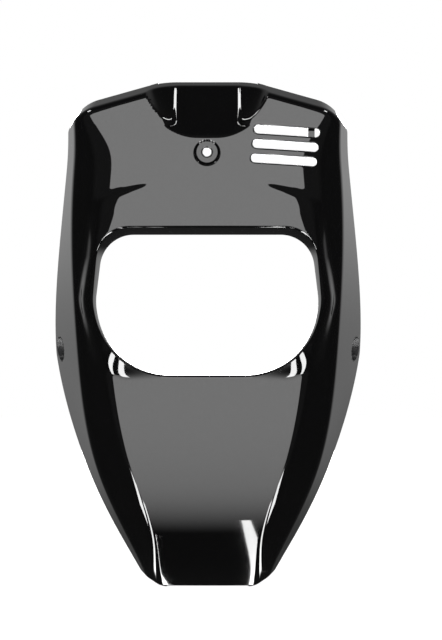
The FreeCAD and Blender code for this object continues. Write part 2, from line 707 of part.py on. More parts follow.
# headlamp screw bosses, locating tabs and stiffening ribs behind the skin
boss_end = "Sizes.boss_end"
for level, height in (("top", f"{LAMP} + Sizes.boss_rise"), ("base", f"{LAMP} - Sizes.boss_drop")):
    for side, sign, _ in SIDES:
        across = f"{sign}Sizes.boss_spacing_wide / 2"
        fills.append(rod(f"{level}_{side}_boss", "Sizes.boss_radius", "Sizes.boss_length",
                         turned(*TO_FRONT, across, boss_end, height)))
        tools.append(rod(f"{level}_{side}_pilot", "Sizes.boss_hole_radius", "Sizes.boss_hole_depth * 2",
                         turned(*TO_FRONT, across, f"{boss_end} + Sizes.boss_hole_depth", height)))
for side, sign, _ in SIDES:
    tab_place = turned(*UPRIGHT, f"{sign}Sizes.tab_centre - Sizes.tab_width / 2", "Sizes.tab_front",
                       "Sizes.tab_end")
    rib_place = turned(*UPRIGHT, f"{sign}Sizes.rib_centre - Sizes.rib_thickness / 2",
                       "Sizes.rib_back - Sizes.rib_depth", f"{LAMP} - Sizes.rib_drop - Sizes.rib_length")
    fills.append(plate(f"{side}_tab", "Sizes.tab_width", "Sizes.tab_thickness", "Sizes.tab_length",
                       tab_place))
    fills.append(plate(f"{side}_rib", "Sizes.rib_thickness", "Sizes.rib_depth", "Sizes.rib_length",
                       rib_place))

inside = common("inside", [outer, join("fills", fills)])
pierced = cut("pierced", join("filled", [shell, inside]), join("tools", tools))

# locating tongues that stand out behind the top rim, inside the thickness of the top wall
right = [tongue_corner("-", " - Sizes.tongue_thickness"), tongue_corner("+", " - Sizes.tongue_thickness"),
         tongue_corner("+", ""), tongue_corner("-", "")]
left = [(f"-({across})", up, None) for across, up, _ in reversed(right)]
tongues = []
for side, corners in (("right", right), ("left", left)):
    outline = rounded_outline(f"{side}_tongue_outline", FACING_FRONT, "y", "Sizes.tongue_start", corners)
    tongues.append(extrude(f"{side}_tongue", outline, RISING, "Sizes.tongue_length"))
front_cover = join("front_cover", [pierced] + tongues)
doc.recompute()

faults = [item.Name for item in doc.Objects if {"Invalid", "Error"} & set(item.State)]
if faults:
    raise RuntimeError(f"objects with faults: {faults}")
if not front_cover.Shape.isValid() or len(front_cover.Shape.Solids) != 1:
    raise RuntimeError("the cover isn't one valid solid")
os.makedirs("parts", exist_ok=True)
front_cover.Shape.exportStep("parts/front_cover.step")
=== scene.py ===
"""Gloss black front cover of a scooter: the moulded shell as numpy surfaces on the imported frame."""
import logging
import math
from dataclasses import dataclass, replace
from enum import Enum
from typing import Any, Callable

import bpy
import numpy as np
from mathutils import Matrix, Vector


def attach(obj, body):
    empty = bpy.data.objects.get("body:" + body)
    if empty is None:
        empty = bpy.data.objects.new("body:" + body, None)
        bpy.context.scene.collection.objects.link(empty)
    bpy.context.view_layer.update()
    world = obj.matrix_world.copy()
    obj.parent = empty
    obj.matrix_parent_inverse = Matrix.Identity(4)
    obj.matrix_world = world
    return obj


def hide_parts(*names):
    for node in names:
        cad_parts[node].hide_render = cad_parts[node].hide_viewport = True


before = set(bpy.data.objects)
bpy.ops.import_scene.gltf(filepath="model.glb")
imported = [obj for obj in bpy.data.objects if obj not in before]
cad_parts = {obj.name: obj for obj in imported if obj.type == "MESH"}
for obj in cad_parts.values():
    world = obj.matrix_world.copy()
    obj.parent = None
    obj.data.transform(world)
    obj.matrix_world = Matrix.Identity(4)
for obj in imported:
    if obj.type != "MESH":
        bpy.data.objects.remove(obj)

Array = np.ndarray
# One array worked out from another, such as distances from depths.
Curve = Callable[[Array], Array]
# Array worked out from places across and heights.
Relief = Callable[[Array, Array], Array]
Pair = tuple[float, float]
Place = tuple[float, float, float]
# Corner of an outline as x, z and radius.
Corner = tuple[float, float, float]
Colour = tuple[float, float, float, float]

LOG = logging.getLogger("front_cover")
MM = 0.001
NODE = "front_cover"
BODY = "root"
WHITE = (1.0, 1.0, 1.0, 1.0)
# Largest cosine between two normals for which a roll is worked out.
ROLL_COSINE = 0.97
# Distances that differ by less count as equal, in millimetres.
TOUCH = 1e-9
# Depth in front of the whole cover, in millimetres.
AHEAD = -70.0
# Rounds of the search for the place where a wall meets the skin.
SEARCH_ROUNDS = 8


def rounded_max(first: Array, second: Array, cosine: Any, radius: float) -> Array:
    """Distance outside the overlap of two forms whose shared edge is rolled over.

    With A and B the distances from the roll's axis along both normals and c the cosine between
    them, a point between the normals is sqrt((A^2 + B^2 - 2ABc) / (1 - c^2)) from that axis, and
    elsewhere the larger of the two distances holds.

    Args:
        first: signed distances from the first form, negative inside.
        second: signed distances from the second form.
        cosine: cosine of the angle between the two outward normals.
        radius: radius of the roll in millimetres.

    Returns:
        Signed distances from the rolled overlap.
    """
    cosine = np.clip(cosine, -ROLL_COSINE, ROLL_COSINE)
    one, two = first + radius, second + radius
    between = (one > cosine * two) & (two > cosine * one)
    square = (one ** 2 + two ** 2 - 2 * one * two * cosine) / (1 - cosine ** 2)
    return np.where(between, np.sqrt(np.maximum(square, 0.0)) - radius, np.maximum(first, second))


def rounded_min(first: Array, second: Array, cosine: Any, radius: float) -> Array:
    """Distance outside the union of two forms with a fillet in the crease between them."""
    return -rounded_max(-first, -second, cosine, radius)


def halve(test: Curve, like: Array, limits: Pair, steps: int = 34) -> Array:
    """Roots of a test, by halving whole arrays between two limits.

    Args:
        test: function of an array of places.
        like: array of the same shape as the places.
        limits: place where the test is positive, then one where it is negative.
        steps: number of halvings.

    Returns:
        Places where the test changes sign.
    """
    low, high = (np.full_like(like, limit) for limit in limits)
    for _ in range(steps):
        middle = (low + high) / 2
        outside = test(middle) > 0
        low, high = np.where(outside, middle, low), np.where(outside, high, middle)
    return (low + high) / 2


def spline(stations: Array, values: Array, places: Array) -> Array:
    """Natural cubic spline through the stations.

    Args:
        stations: rising station places.
        values: one value for each station.
        places: places to work out.

    Returns:
        Interpolated values.
    """
    gaps = np.diff(stations)
    count = len(stations)
    matrix = np.eye(count)
    inner = np.arange(1, count - 1)
    matrix[inner, inner - 1] = gaps[:-1]
    matrix[inner, inner] = 2 * (gaps[:-1] + gaps[1:])
    matrix[inner, inner + 1] = gaps[1:]
    slopes = np.diff(values) / gaps
    right = np.zeros(count)
    right[1:-1] = 6 * np.diff(slopes)
    bend = np.linalg.solve(matrix, right)
    index = np.clip(np.searchsorted(stations, places) - 1, 0, count - 2)
    gap, after = gaps[index], places - stations[index]
    before = gap - after
    curve = (bend[index] * before ** 3 + bend[index + 1] * after ** 3) / (6 * gap)
    first = (values[index] / gap - bend[index] * gap / 6) * before
    second = (values[index + 1] / gap - bend[index + 1] * gap / 6) * after
    return curve + first + second


def fade(places: Array, ends: Pair) -> Array:
    """Share that rises straight from 0 at the first end to 1 at the other."""
    return np.interp(places, ends, (0.0, 1.0))


def spaced(start: float, end: float, density: Curve, count: int, samples: int = 4001) -> Array:
    """Places from start to end whose spacing follows a density.

    Args:
        start: first place.
        end: last place.
        density: relative number of places for each unit of length.
        count: number of places.
        samples: number of places at which the density is added up.

    Returns:
        Rising places, crowded where the density is high.
    """
    fine = np.linspace(start, end, samples)
    weight = density((fine[1:] + fine[:-1]) / 2)
    total = np.concatenate([[0.0], np.cumsum(weight)])
    return np.interp(np.linspace(0.0, total[-1], count), total, fine)


@dataclass(frozen=True)
class RoundedOutline:
    """Convex outline with rounded corners, listed anticlockwise as (x, z, radius).

    Where distances are taken from it, each corner turns by 15 degrees or more.
    """

    corners: tuple[Corner, ...]

    @staticmethod
    def even(half: tuple[Corner, ...]) -> "RoundedOutline":
        """Outline that is the same on both sides, from its right half listed upwards."""
        return RoundedOutline(half + tuple((-x, z, radius) for x, z, radius in reversed(half)))

    def table(self) -> tuple[Array, Array, Array, Array]:
        """Corner places, edge directions, outward edge normals and radii."""
        rows = np.array(self.corners)
        places = rows[:, :2]
        ahead = np.roll(places, -1, axis=0) - places
        ahead /= np.linalg.norm(ahead, axis=1, keepdims=True)
        return places, ahead, np.stack([ahead[:, 1], -ahead[:, 0]], axis=1), rows[:, 2]

    def distance(self, x: Array, z: Array) -> Array:
        """Signed distance from the outline, negative inside.

        The largest distance from the edges' lines holds, apart from the wedge of each corner,
        where it is the distance from the corner's arc.

        Args:
            x: places across.
            z: heights.

        Returns:
            Signed distances, one for each place.
        """
        places, _, normals, radii = self.table()
        point = np.stack([x, z], axis=-1)
        lines = [np.einsum("...k,k->...", point - place, normal)
                 for place, normal in zip(places, normals)]
        result = np.max(lines, axis=0)
        for index, radius in enumerate(radii):
            before, after = lines[index - 1], lines[index]
            nearest = np.maximum(before, after) >= result - TOUCH
            cosine = float(normals[index - 1] @ normals[index])
            result = np.where(nearest, rounded_max(before, after, cosine, radius), result)
        return result

    def points(self, on_arc: int, on_edge: int) -> Array:
        """Points along the outline, as many on each arc and on each edge, anticlockwise.

        Args:
            on_arc: number of points on each corner's arc.
            on_edge: number of points inside each straight edge.

        Returns:
            Array of (x, z) rows.
        """
        places, ahead, normals, radii = self.table()
        before, first = np.roll(ahead, 1, axis=0), np.roll(normals, 1, axis=0)
        turn = np.arccos(np.clip(np.sum(before * ahead, axis=1), -1.0, 1.0))
        trim = (radii * np.tan(turn / 2))[:, None]
        centres = places - before * trim - first * radii[:, None]
        angles = np.arctan2(first[:, 1], first[:, 0])[:, None] + turn[:, None] * np.linspace(0, 1, on_arc)
        spokes = np.stack([np.cos(angles), np.sin(angles)], axis=-1)
        arcs = centres[:, None] + radii[:, None, None] * spokes
        leave, meet = arcs[:, -1], np.roll(arcs[:, 0], -1, axis=0)
        share = np.linspace(0, 1, on_edge + 2)[1:-1][:, None]
        edges = leave[:, None] + (meet - leave)[:, None] * share
        return np.concatenate([arcs, edges], axis=1).reshape(-1, 2)


def across(points: Array) -> Array:
    """Outward unit normals of a closed anticlockwise line of points."""
    ahead = np.roll(points, -1, axis=0) - np.roll(points, 1, axis=0)
    normal = np.stack([ahead[:, 1], -ahead[:, 0]], axis=1)
    return normal / np.linalg.norm(normal, axis=1, keepdims=True)


@dataclass(frozen=True)
class Level:
    """Horizontal section of the shield at one height."""

    height: float
    front: float
    edge_half: float
    flank_width: float
    wall_flare: float
    edge_radius: float
    side_radius: float


@dataclass(frozen=True)
class Shield:
    """Tapering shield: crown arc, edge roll, slanted flank, side roll and wall at every height."""

    crown_radius: float = 900.0
    flank_slope: float = 0.95
    rear_plane: float = 135.0
    levels: tuple[Level, ...] = (
        Level(-458.0, 96.0, 48.0, 9.0, 8.0, 10.0, 8.0),
        Level(-428.0, 57.0, 52.0, 13.0, 16.0, 11.0, 8.0),
        Level(-388.0, 30.0, 57.0, 26.0, 21.0, 12.0, 12.0),
        Level(-330.0, 16.8, 76.0, 33.0, 22.0, 11.0, 18.0),
        Level(-200.0, 4.0, 103.0, 29.0, 34.0, 20.0, 18.0),
        Level(-26.0, -9.2, 109.0, 27.0, 20.0, 45.0, 20.0),
        Level(4.0, -4.35, 110.5, 24.0, 19.4, 42.0, 19.5),
        Level(37.0, 1.0, 124.0, 11.0, 18.0, 20.0, 16.0),
        Level(95.0, 10.4, 127.0, 12.0, 15.0, 18.0, 14.0),
    )

    def sizes(self, z: Array) -> dict[str, Array]:
        """Section sizes at the given heights, by a spline through the levels."""
        stations = np.array([level.height for level in self.levels])
        words = ("front", "edge_half", "flank_width", "wall_flare", "edge_radius", "side_radius")
        return {word: spline(stations, np.array([getattr(level, word) for level in self.levels]), z)
                for word in words}

    def depth(self, x: Array, z: Array) -> Array:
        """Depth y of the shield's skin: arc, roll, slanted line, roll and wall, joined tangentially.

        Args:
            x: places across.
            z: heights.

        Returns:
            Depths of the skin.
        """
        size, out = self.sizes(z), np.abs(x)
        crown, slope = self.crown_radius, self.flank_slope
        edge, width = size["edge_half"], size["flank_width"]
        roll_radius, side_radius = size["edge_radius"], size["side_radius"]
        centre = size["front"] + crown
        edge_depth = centre - np.sqrt(crown ** 2 - edge ** 2)
        side, side_depth = edge + width, edge_depth + width * slope
        length = math.hypot(1.0, slope)
        along_x, along_y = 1.0 / length, slope / length
        base_x, base_y = edge - along_y * roll_radius, edge_depth + along_x * roll_radius - centre
        dot = base_x * along_x + base_y * along_y
        reach = np.sqrt(dot ** 2 - base_x ** 2 - base_y ** 2 + (crown - roll_radius) ** 2)
        roll_x, roll_y = base_x - along_x * (reach + dot), base_y - along_y * (reach + dot)
        on_crown = roll_x * crown / np.hypot(roll_x, roll_y)
        on_flank = roll_x + along_y * roll_radius
        wall_y = self.rear_plane - side_depth
        wall_length = np.hypot(size["wall_flare"], wall_y)
        back_x, back_y = size["wall_flare"] / wall_length, wall_y / wall_length
        turn = np.arccos(along_x * back_x + along_y * back_y)
        trim = side_radius * np.tan(turn / 2)
        leave = side - along_x * trim
        turn_x = leave - along_y * side_radius
        turn_y = side_depth - along_y * trim + along_x * side_radius
        meet = turn_x + back_y * side_radius
        return np.select(
            [out < on_crown, out < on_flank, out < leave, out < meet],
            [centre - np.sqrt(np.maximum(crown ** 2 - out ** 2, 0.0)),
             centre + roll_y - np.sqrt(np.maximum(roll_radius ** 2 - (out - roll_x) ** 2, 0.0)),
             edge_depth + (out - edge) * slope,
             turn_y - np.sqrt(np.maximum(side_radius ** 2 - (out - turn_x) ** 2, 0.0))],
            side_depth + (out - side) * wall_y / size["wall_flare"])


@dataclass(frozen=True)
class Bezel:
    """Headlamp bezel raised round the opening: a drafted outline with a crowned front."""

    outline: RoundedOutline = RoundedOutline.even(
        ((107.0, -230.0, 42.0), (126.0, -150.0, 60.0), (122.0, -21.0, 42.0)))
    peak: RoundedOutline = RoundedOutline.even(((105.0, -66.0, 1.0), (8.0, 19.4, 20.0)))
    peak_fillet: float = 30.0
    peak_cosine: float = 0.75
    draft: float = 0.1
    side_draft: float = 0.4
    side_blend: Pair = (-168.0, -105.0)
    side_base: float = 17.0
    side_end: float = 22.0
    crown_radius: float = 4000.0
    edge_radius: float = 20.0
    corner_radius: float = 44.0
    low_radius: float = 30.0
    low_blend: Pair = (-190.0, -130.0)
    top_blend: Pair = (-95.0, -50.0)
    corner_blend: Pair = (50.0, 100.0)
    heights: tuple[float, ...] = (-228.0, -74.0, -26.0)
    fronts: tuple[float, ...] = (6.4, -17.4, -8.6)
    brow_radius: float = 160.0

    def profile(self, z: Array) -> Array:
        """Front depth on the centre line: two slanted lines with a rounded brow between them.

        Args:
            z: heights.

        Returns:
            Depths of the front.
        """
        low, brow, top = self.heights
        base_front, brow_front, top_front = self.fronts
        under = (brow_front - base_front) / (brow - low)
        over = (top_front - brow_front) / (top - brow)
        lean_under, lean_over = math.atan(under), math.atan(over)
        trim = self.brow_radius * math.tan((lean_over - lean_under) / 2)
        start, end = -trim * math.cos(lean_under), trim * math.cos(lean_over)
        centre_z = start - self.brow_radius * math.sin(lean_under)
        centre_y = start * under + self.brow_radius * math.cos(lean_under)
        up = z - brow
        arc = centre_y - np.sqrt(np.maximum(self.brow_radius ** 2 - (up - centre_z) ** 2, 0.0))
        return brow_front + np.select([up < start, up < end], [up * under, arc], up * over)

    def side(self, x: Array, z: Array) -> Array:
        """Signed distance from the outline with its peak, which fades into the panel at the middle."""
        return rounded_min(self.outline.distance(x, z), self.peak.distance(x, z), self.peak_cosine,
                           self.peak_fillet)

    def roll(self, x: Array, z: Array) -> Array:
        """Radius of the rolled edge, larger low down and, by a smooth step, at the upper corners.

        Args:
            x: places across.
            z: heights.

        Returns:
            Radii of the roll.
        """
        share = fade(np.abs(x), self.corner_blend) * fade(z, self.top_blend)
        share = share * share * (3.0 - 2.0 * share)
        even = np.interp(z, self.low_blend, (self.low_radius, self.edge_radius))
        return even + (self.corner_radius - self.edge_radius) * share

    def depth(self, x: Array, z: Array) -> Array:
        """Depth of the crowned front, the profile turned about an upright axis behind it."""
        radius = self.crown_radius - self.profile(z)
        return self.crown_radius - np.sqrt(radius ** 2 - x ** 2)


@dataclass(frozen=True)
class Scoop:
    """Handlebar scoop: a rounded trough that runs up and back through the top edge."""

    planes: Pair = (-10.0, 45.0)
    floors: Pair = (9.5, 78.8)
    halves: Pair = (36.0, 63.0)
    radii: Pair = (62.0, 6.0)
    spreads: Pair = (131.0, 92.0)
    top: float = 150.0
    share_limits: Pair = (-0.1, 1.5)
    least_radius: float = 3.0
    slope_step: float = 0.5
    channel_half: float = 32.5
    channel_depth: float = 4.0
    channel_step: float = 3.0
    channel_flare: float = 15.0
    channel_run: float = 9.0

    def section(self, x: Array, y: Array, z: Array) -> Array:
        """Signed distance from the trough in its upright section at each depth.

        The section is a level floor and a slanted side, joined by an arc. The floor's height, both
        widths and the arc's radius run straight from the front plane to the rear one. A shallow
        channel, whose sides are cubic steps, is sunk along the middle and flares out at the mouth.

        Args:
            x: places across.
            y: depths.
            z: heights.

        Returns:
            Signed distances, negative inside the trough.
        """
        share = np.clip((y - self.planes[0]) / (self.planes[1] - self.planes[0]), *self.share_limits)
        floor, half, radius, spread = (ends[0] + (ends[1] - ends[0]) * share for ends in
                                       (self.floors, self.halves, self.radii, self.spreads))
        rise, run = self.top - floor, spread - half
        length = np.hypot(rise, run)
        beside = ((np.abs(x) - half) * rise - (z - floor) * run) / length
        flare = self.channel_flare * np.clip(1.0 - y / self.channel_run, 0.0, 1.0) ** 2
        side = np.clip((np.abs(x) - self.channel_half - flare) / self.channel_step, -1.0, 1.0)
        channel = self.channel_depth * (0.5 - 0.75 * side + 0.25 * side ** 3)
        radius = np.maximum(radius, self.least_radius)
        return rounded_max(floor - z, beside, run / length, radius) - channel

    def distance(self, x: Array, y: Array, z: Array) -> Array:
        """Signed distance from the trough, its section's distance divided by its steepness.

        Args:
            x: places across.
            y: depths.
            z: heights.

        Returns:
            Signed distances, negative inside the trough.
        """
        step = self.slope_step
        ahead, behind = self.section(x, y + step, z), self.section(x, y - step, z)
        steep = (ahead - behind) / (2 * step)
        return (ahead + behind) / 2 / np.hypot(1.0, steep)


@dataclass(frozen=True)
class Rim:
    """Rear rim in side view: two straight runs that meet at the widest place."""

    heights: tuple[float, ...] = (-450.0, -203.0, 100.0)
    depths: tuple[float, ...] = (88.0, 118.0, 75.0)

    def depth(self, z: Array) -> Array:
        """Depth of the rim, straight between its three places."""
        return np.interp(z, self.heights, self.depths)


@dataclass(frozen=True)
class CoverForm:
    """Solid form inside the cover's outer skin, and the same form set in by a wall."""

    shield: Shield = Shield()
    bezel: Bezel = Bezel()
    scoop: Scoop = Scoop()
    rim: Rim = Rim()
    roof: RoundedOutline = RoundedOutline.even(
        ((200.0, -520.0, 1.0), (200.0, -83.8, 1.0), (129.0, 39.6, 40.0), (48.0, 62.6, 120.0)))
    roof_rise: float = 0.2
    roof_edge: float = 10.0
    sole: RoundedOutline = RoundedOutline.even(
        ((48.0, -444.0, 20.0), (348.0, -244.0, 1.0), (348.0, 300.0, 1.0)))
    sole_edge: float = 1.5
    crease: float = 3.0
    low_crease: float = 9.0
    crease_blend: Pair = (-180.0, -90.0)
    crease_cosine: float = 0.5
    scoop_edge: float = 2.0
    scoop_cosine: float = 0.3
    slope_step: float = 0.25
    depth_limits: Pair = (AHEAD, 190.0)
    width_limits: Pair = (230.0, 0.0)
    top_limits: Pair = (170.0, -40.0)
    base_limits: Pair = (-520.0, -150.0)
    toe_limits: Pair = (-443.5, -405.0)
    toe_tries: int = 200
    toe_inset: float = 0.02
    toe_gap: float = 0.05
    corner_height: float = 40.0
    top_blend: float = -100.0
    base_blend: float = -375.0
    crowded_share: float = 0.78
    share_crowding: float = 1.2
    crowded_heights: Pair = (-370.0, -45.0)
    height_crowding: Pair = (0.5, 1.0)

    def outside(self, x: Array, z: Array) -> Curve:
        """Signed distance from the form as a function of depth at fixed places.

        The shield under the roof, with a rolled edge, is joined to the bezel, with a filleted
        crease. The scoop and the sole are then taken off, with small rolls on their edges.

        Args:
            x: places across.
            z: heights.

        Returns:
            Function from depths to signed distances, positive in front of the skin.
        """
        step, bezel = self.slope_step, self.bezel

        def slopes(surface: Relief) -> tuple[Array, Array, Array]:
            """Slopes of a surface across and upwards, by central differences, and 1 / its steepness."""
            slope_x = (surface(x + step, z) - surface(x - step, z)) / (2 * step)
            slope_z = (surface(x, z + step) - surface(x, z - step)) / (2 * step)
            return slope_x, slope_z, 1.0 / np.sqrt(1.0 + slope_x ** 2 + slope_z ** 2)

        skin, front, side = (surface(x, z) for surface in (self.shield.depth, bezel.depth, bezel.side))
        skin_x, skin_z, skin_scale = slopes(self.shield.depth)
        front_x, front_z, front_scale = slopes(bezel.depth)
        side_x, side_z, _ = slopes(bezel.side)
        roof_x, roof_z, _ = slopes(self.roof.distance)
        roof_scale = 1.0 / math.hypot(1.0, self.roof_rise)
        side_draft = bezel.side_draft * side_x ** 2 * fade(z, bezel.side_blend)
        draft = bezel.draft + side_draft
        draft_scale = 1.0 / np.hypot(1.0, draft)
        roof_cosine = (skin_x * roof_x + self.roof_rise + skin_z * roof_z) * skin_scale * roof_scale
        bezel_cosine = (front_x * side_x + draft + front_z * side_z) * front_scale * draft_scale
        edge_radius = bezel.roll(x, z)
        sole = self.sole.distance(x, z)
        crease = np.interp(z, self.crease_blend, (self.low_crease, self.crease))

        def test(y: Array) -> Array:
            """Signed distance at the given depths."""
            roof = self.roof.distance(x, z - self.roof_rise * y) * roof_scale
            panel = rounded_max((skin - y) * skin_scale, roof, roof_cosine, self.roof_edge)
            drafted = side - bezel.draft * y
            drafted = drafted - side_draft * (np.minimum(y, bezel.side_end) - bezel.side_base)
            block = rounded_max((front - y) * front_scale, drafted * draft_scale, bezel_cosine,
                                edge_radius)
            raised = rounded_min(panel, block, self.crease_cosine, crease)
            trough = -self.scoop.distance(x, y, z)
            cut = rounded_max(raised, trough, self.scoop_cosine, self.scoop_edge)
            return rounded_max(cut, sole, 0.0, self.sole_edge)

        return test

    def depth(self, x: Array, z: Array, inset: float = 0.0) -> Array:
        """Depth of the skin, or of the skin set in by a wall, where the signed distance is -inset."""
        test = self.outside(x, z)
        return halve(lambda y: test(y) + inset, x, self.depth_limits)

    def half_width(self, z: Array, inset: float, overhang: float) -> Array:
        """Half width at the rim, or the overhang behind it, at the given heights."""
        depth = self.rim.depth(z) + overhang
        return halve(lambda x: self.outside(x, z)(depth) + inset, z, self.width_limits)

    def top(self, x: Array, inset: float, overhang: float) -> Array:
        """Height of the top rim at the given places across."""
        test = lambda z: self.outside(x, z)(self.rim.depth(z) + overhang) + inset
        return halve(test, x, self.top_limits)

    def base(self, x: Array, inset: float) -> Array:
        """Height of the sole at the given places across."""
        return halve(lambda z: self.sole.distance(x, z) + inset, x, self.base_limits)

    def toe(self, inset: float, overhang: float) -> float:
        """Height of the toe's corners, the first one tried whose rim lies on the sole.

        Args:
            inset: wall between the outer skin and this one.
            overhang: how far the cap lies behind the rim.

        Returns:
            Height of the corners.
        """
        start, end = self.toe_limits
        low = np.linspace(start + inset, end, self.toe_tries)
        gap = self.base(self.half_width(low, inset, overhang) - self.toe_inset, inset) - low
        return float(low[np.argmax(gap < self.toe_gap)])

    def grid(self, columns: int, rows: int, inset: float, overhang: float) -> tuple[Array, Array]:
        """Skin and rear cap on one grid of places.

        Columns run up the cover at shares of its half width, and rows bend up to the top rim and
        down to the sole near both ends. Both are crowded where the form turns fast.

        Args:
            columns: number of places across.
            rows: number of places upwards.
            inset: wall between the outer skin and this one.
            overhang: how far the cap lies behind the rim.

        Returns:
            Skin points and cap points, each as (rows, columns, 3).
        """
        base_height = self.toe(inset, overhang)
        (low, high), (low_crowding, high_crowding) = self.crowded_heights, self.height_crowding
        share = spaced(-1.0, 1.0, lambda u: 1.0 + self.share_crowding * (np.abs(u) > self.crowded_share),
                       columns)
        height = spaced(base_height, self.corner_height,
                        lambda z: 1.0 + high_crowding * (z > high) + low_crowding * (z < low), rows)
        width = self.half_width(height, inset, overhang)
        x = share[None, :] * width[:, None]
        rise = self.top(share * width[-1], inset, overhang) - self.corner_height
        drop = self.base(share * width[0], inset) - base_height
        lift = fade(height, (self.top_blend, self.corner_height)) ** 2
        fall = fade(-height, (-self.base_blend, -base_height)) ** 2
        z = height[:, None] + lift[:, None] * rise + fall[:, None] * drop
        y = self.depth(x, z, inset)
        cap = self.rim.depth(z) + overhang
        y = np.minimum(y, cap)
        y[:, 0], y[:, -1], y[-1] = cap[:, 0], cap[:, -1], cap[-1]
        return np.stack([x, y, z], axis=-1), np.stack([x, cap, z], axis=-1)


def sheet(index: Array) -> Array:
    """Triangles of a grid of vertex numbers, without those that fold to a line."""
    low_left, low_right = index[:-1, :-1].ravel(), index[:-1, 1:].ravel()
    top_left, top_right = index[1:, :-1].ravel(), index[1:, 1:].ravel()
    faces = np.concatenate([np.stack([low_left, low_right, top_right], axis=1),
                            np.stack([low_left, top_right, top_left], axis=1)])
    whole = (faces[:, 0] != faces[:, 1]) & (faces[:, 1] != faces[:, 2]) & (faces[:, 2] != faces[:, 0])
    return faces[whole]


@dataclass
class Surface:
    """Closed surface as vertex places in millimetres and triangles."""

    places: Array
    faces: Array

    @staticmethod
    def pillow(skin: Array, cap: Array) -> "Surface":
        """Solid between a skin and a cap on the same grid, which share three of their sides.

        Args:
            skin: front points as (rows, columns, 3).
            cap: rear points on the same grid.

        Returns:
            Closed surface, with a strip along the side that isn't shared.
        """
        rows, columns = skin.shape[:2]
        front = np.arange(rows * columns).reshape(rows, columns)
        back = front.copy()
        own = np.arange((rows - 1) * (columns - 2)).reshape(rows - 1, columns - 2)
        back[:-1, 1:-1] = front.size + own
        places = np.concatenate([skin.reshape(-1, 3), cap[:-1, 1:-1].reshape(-1, 3)])
        strip = np.stack([back[0], front[0]])
        faces = np.concatenate([sheet(front), sheet(back[:, ::-1]), sheet(strip)])
        return Surface(places, faces).outward()

    @staticmethod
    def tube(rings: Array) -> "Surface":
        """Closed rings one after another, with both ends filled from the middle of their ring.

        Args:
            rings: points as (rings, points of a ring, 3).

        Returns:
            Closed surface.
        """
        count, around = rings.shape[:2]
        index = np.arange(count * around).reshape(count, around)
        middles = np.repeat([[index.size], [index.size + 1]], around, axis=1)
        index = np.concatenate([middles[:1], index, middles[1:]])
        index = np.concatenate([index, index[:, :1]], axis=1)
        places = np.concatenate([rings.reshape(-1, 3), rings[[0, -1]].mean(axis=1)])
        return Surface(places, sheet(index)).outward()

    @staticmethod
    def hoop(rings: Array) -> "Surface":
        """Closed rings one after another, with the last joined to the first.

        Args:
            rings: points as (rings, points of a ring, 3).

        Returns:
            Closed surface.
        """
        count, around = rings.shape[:2]
        index = np.arange(count * around).reshape(count, around)
        index = np.concatenate([index, index[:1]])
        index = np.concatenate([index, index[:, :1]], axis=1)
        return Surface(rings.reshape(-1, 3), sheet(index)).outward()

    def outward(self) -> "Surface":
        """Turn the faces so that the enclosed volume is positive."""
        first, second, third = (self.places[self.faces[:, index]] for index in range(3))
        volume = np.einsum("ij,ij->", first, np.cross(second, third))
        return self if volume > 0 else Surface(self.places, self.faces[:, ::-1])

    def object(self, name: str) -> bpy.types.Object:
        """Mesh object with these faces, in metres, at the origin.

        Args:
            name: name of the object and its mesh.

        Returns:
            The object, linked to the scene.
        """
        mesh = bpy.data.meshes.new(name)
        count = len(self.faces)
        mesh.vertices.add(len(self.places))
        mesh.vertices.foreach_set("co", (self.places * MM).astype(np.float32).ravel())
        mesh.loops.add(count * 3)
        mesh.loops.foreach_set("vertex_index", self.faces.astype(np.int32).ravel())
        mesh.polygons.add(count)
        mesh.polygons.foreach_set("loop_start", np.arange(0, count * 3, 3, dtype=np.int32))
        mesh.update(calc_edges=True)
        mesh.validate()
        item = bpy.data.objects.new(name, mesh)
        bpy.context.collection.objects.link(item)
        return item


class Operation(Enum):
    """Ways to combine two solids."""

    JOIN = "UNION"
    CUT = "DIFFERENCE"
    SHARE = "INTERSECT"


def discard(item: bpy.types.Object) -> None:
    """Remove an object and its mesh."""
    mesh = item.data
    bpy.data.objects.remove(item)
    bpy.data.meshes.remove(mesh)


def combine(base: bpy.types.Object, tool: bpy.types.Object, operation: Operation,
            keep: bool = False) -> None:
    """Change a solid's mesh by joining, cutting or sharing it with another.

    Args:
        base: solid to change.
        tool: solid to use.
        operation: what to do with the two.
        keep: whether the tool is still needed.
    """
    modifier = base.modifiers.new(operation.name, "BOOLEAN")
    modifier.operation, modifier.object, modifier.solver = operation.value, tool, "MANIFOLD"
    graph = bpy.context.evaluated_depsgraph_get()
    mesh = bpy.data.meshes.new_from_object(base.evaluated_get(graph))
    base.modifiers.clear()
    old, base.data = base.data, mesh
    bpy.data.meshes.remove(old)
    LOG.info("%s %s: %d faces", base.name, operation.name.lower(), len(mesh.polygons))
    if not keep:
        discard(tool)


def circle(radius: Any, around: int) -> Array:
    """Points round a circle about the origin, anticlockwise, as (x, z) rows."""
    angle = np.linspace(0.0, math.tau, around, endpoint=False)
    return np.stack([radius * np.cos(angle), radius * np.sin(angle)], axis=1)


def rod(radius: float, start: Place, end: Place, end_radius: float | None = None,
        around: int = 48) -> Surface:
    """Round rod or cone between two places, as rings about its axis, which isn't upright.

    Args:
        radius: radius at the start.
        start: centre of the first end.
        end: centre of the other end.
        end_radius: radius at the other end, if it differs.
        around: number of places round a ring.

    Returns:
        Closed surface of the rod.
    """
    first, last = np.array(start), np.array(end)
    axis = (last - first) / np.linalg.norm(last - first)
    aside = np.cross(axis, np.array([0.0, 0.0, 1.0]))
    aside /= np.linalg.norm(aside)
    spokes = circle(1.0, around) @ np.stack([aside, np.cross(axis, aside)])
    return Surface.tube(np.stack([first + spokes * radius, last + spokes * (end_radius or radius)]))


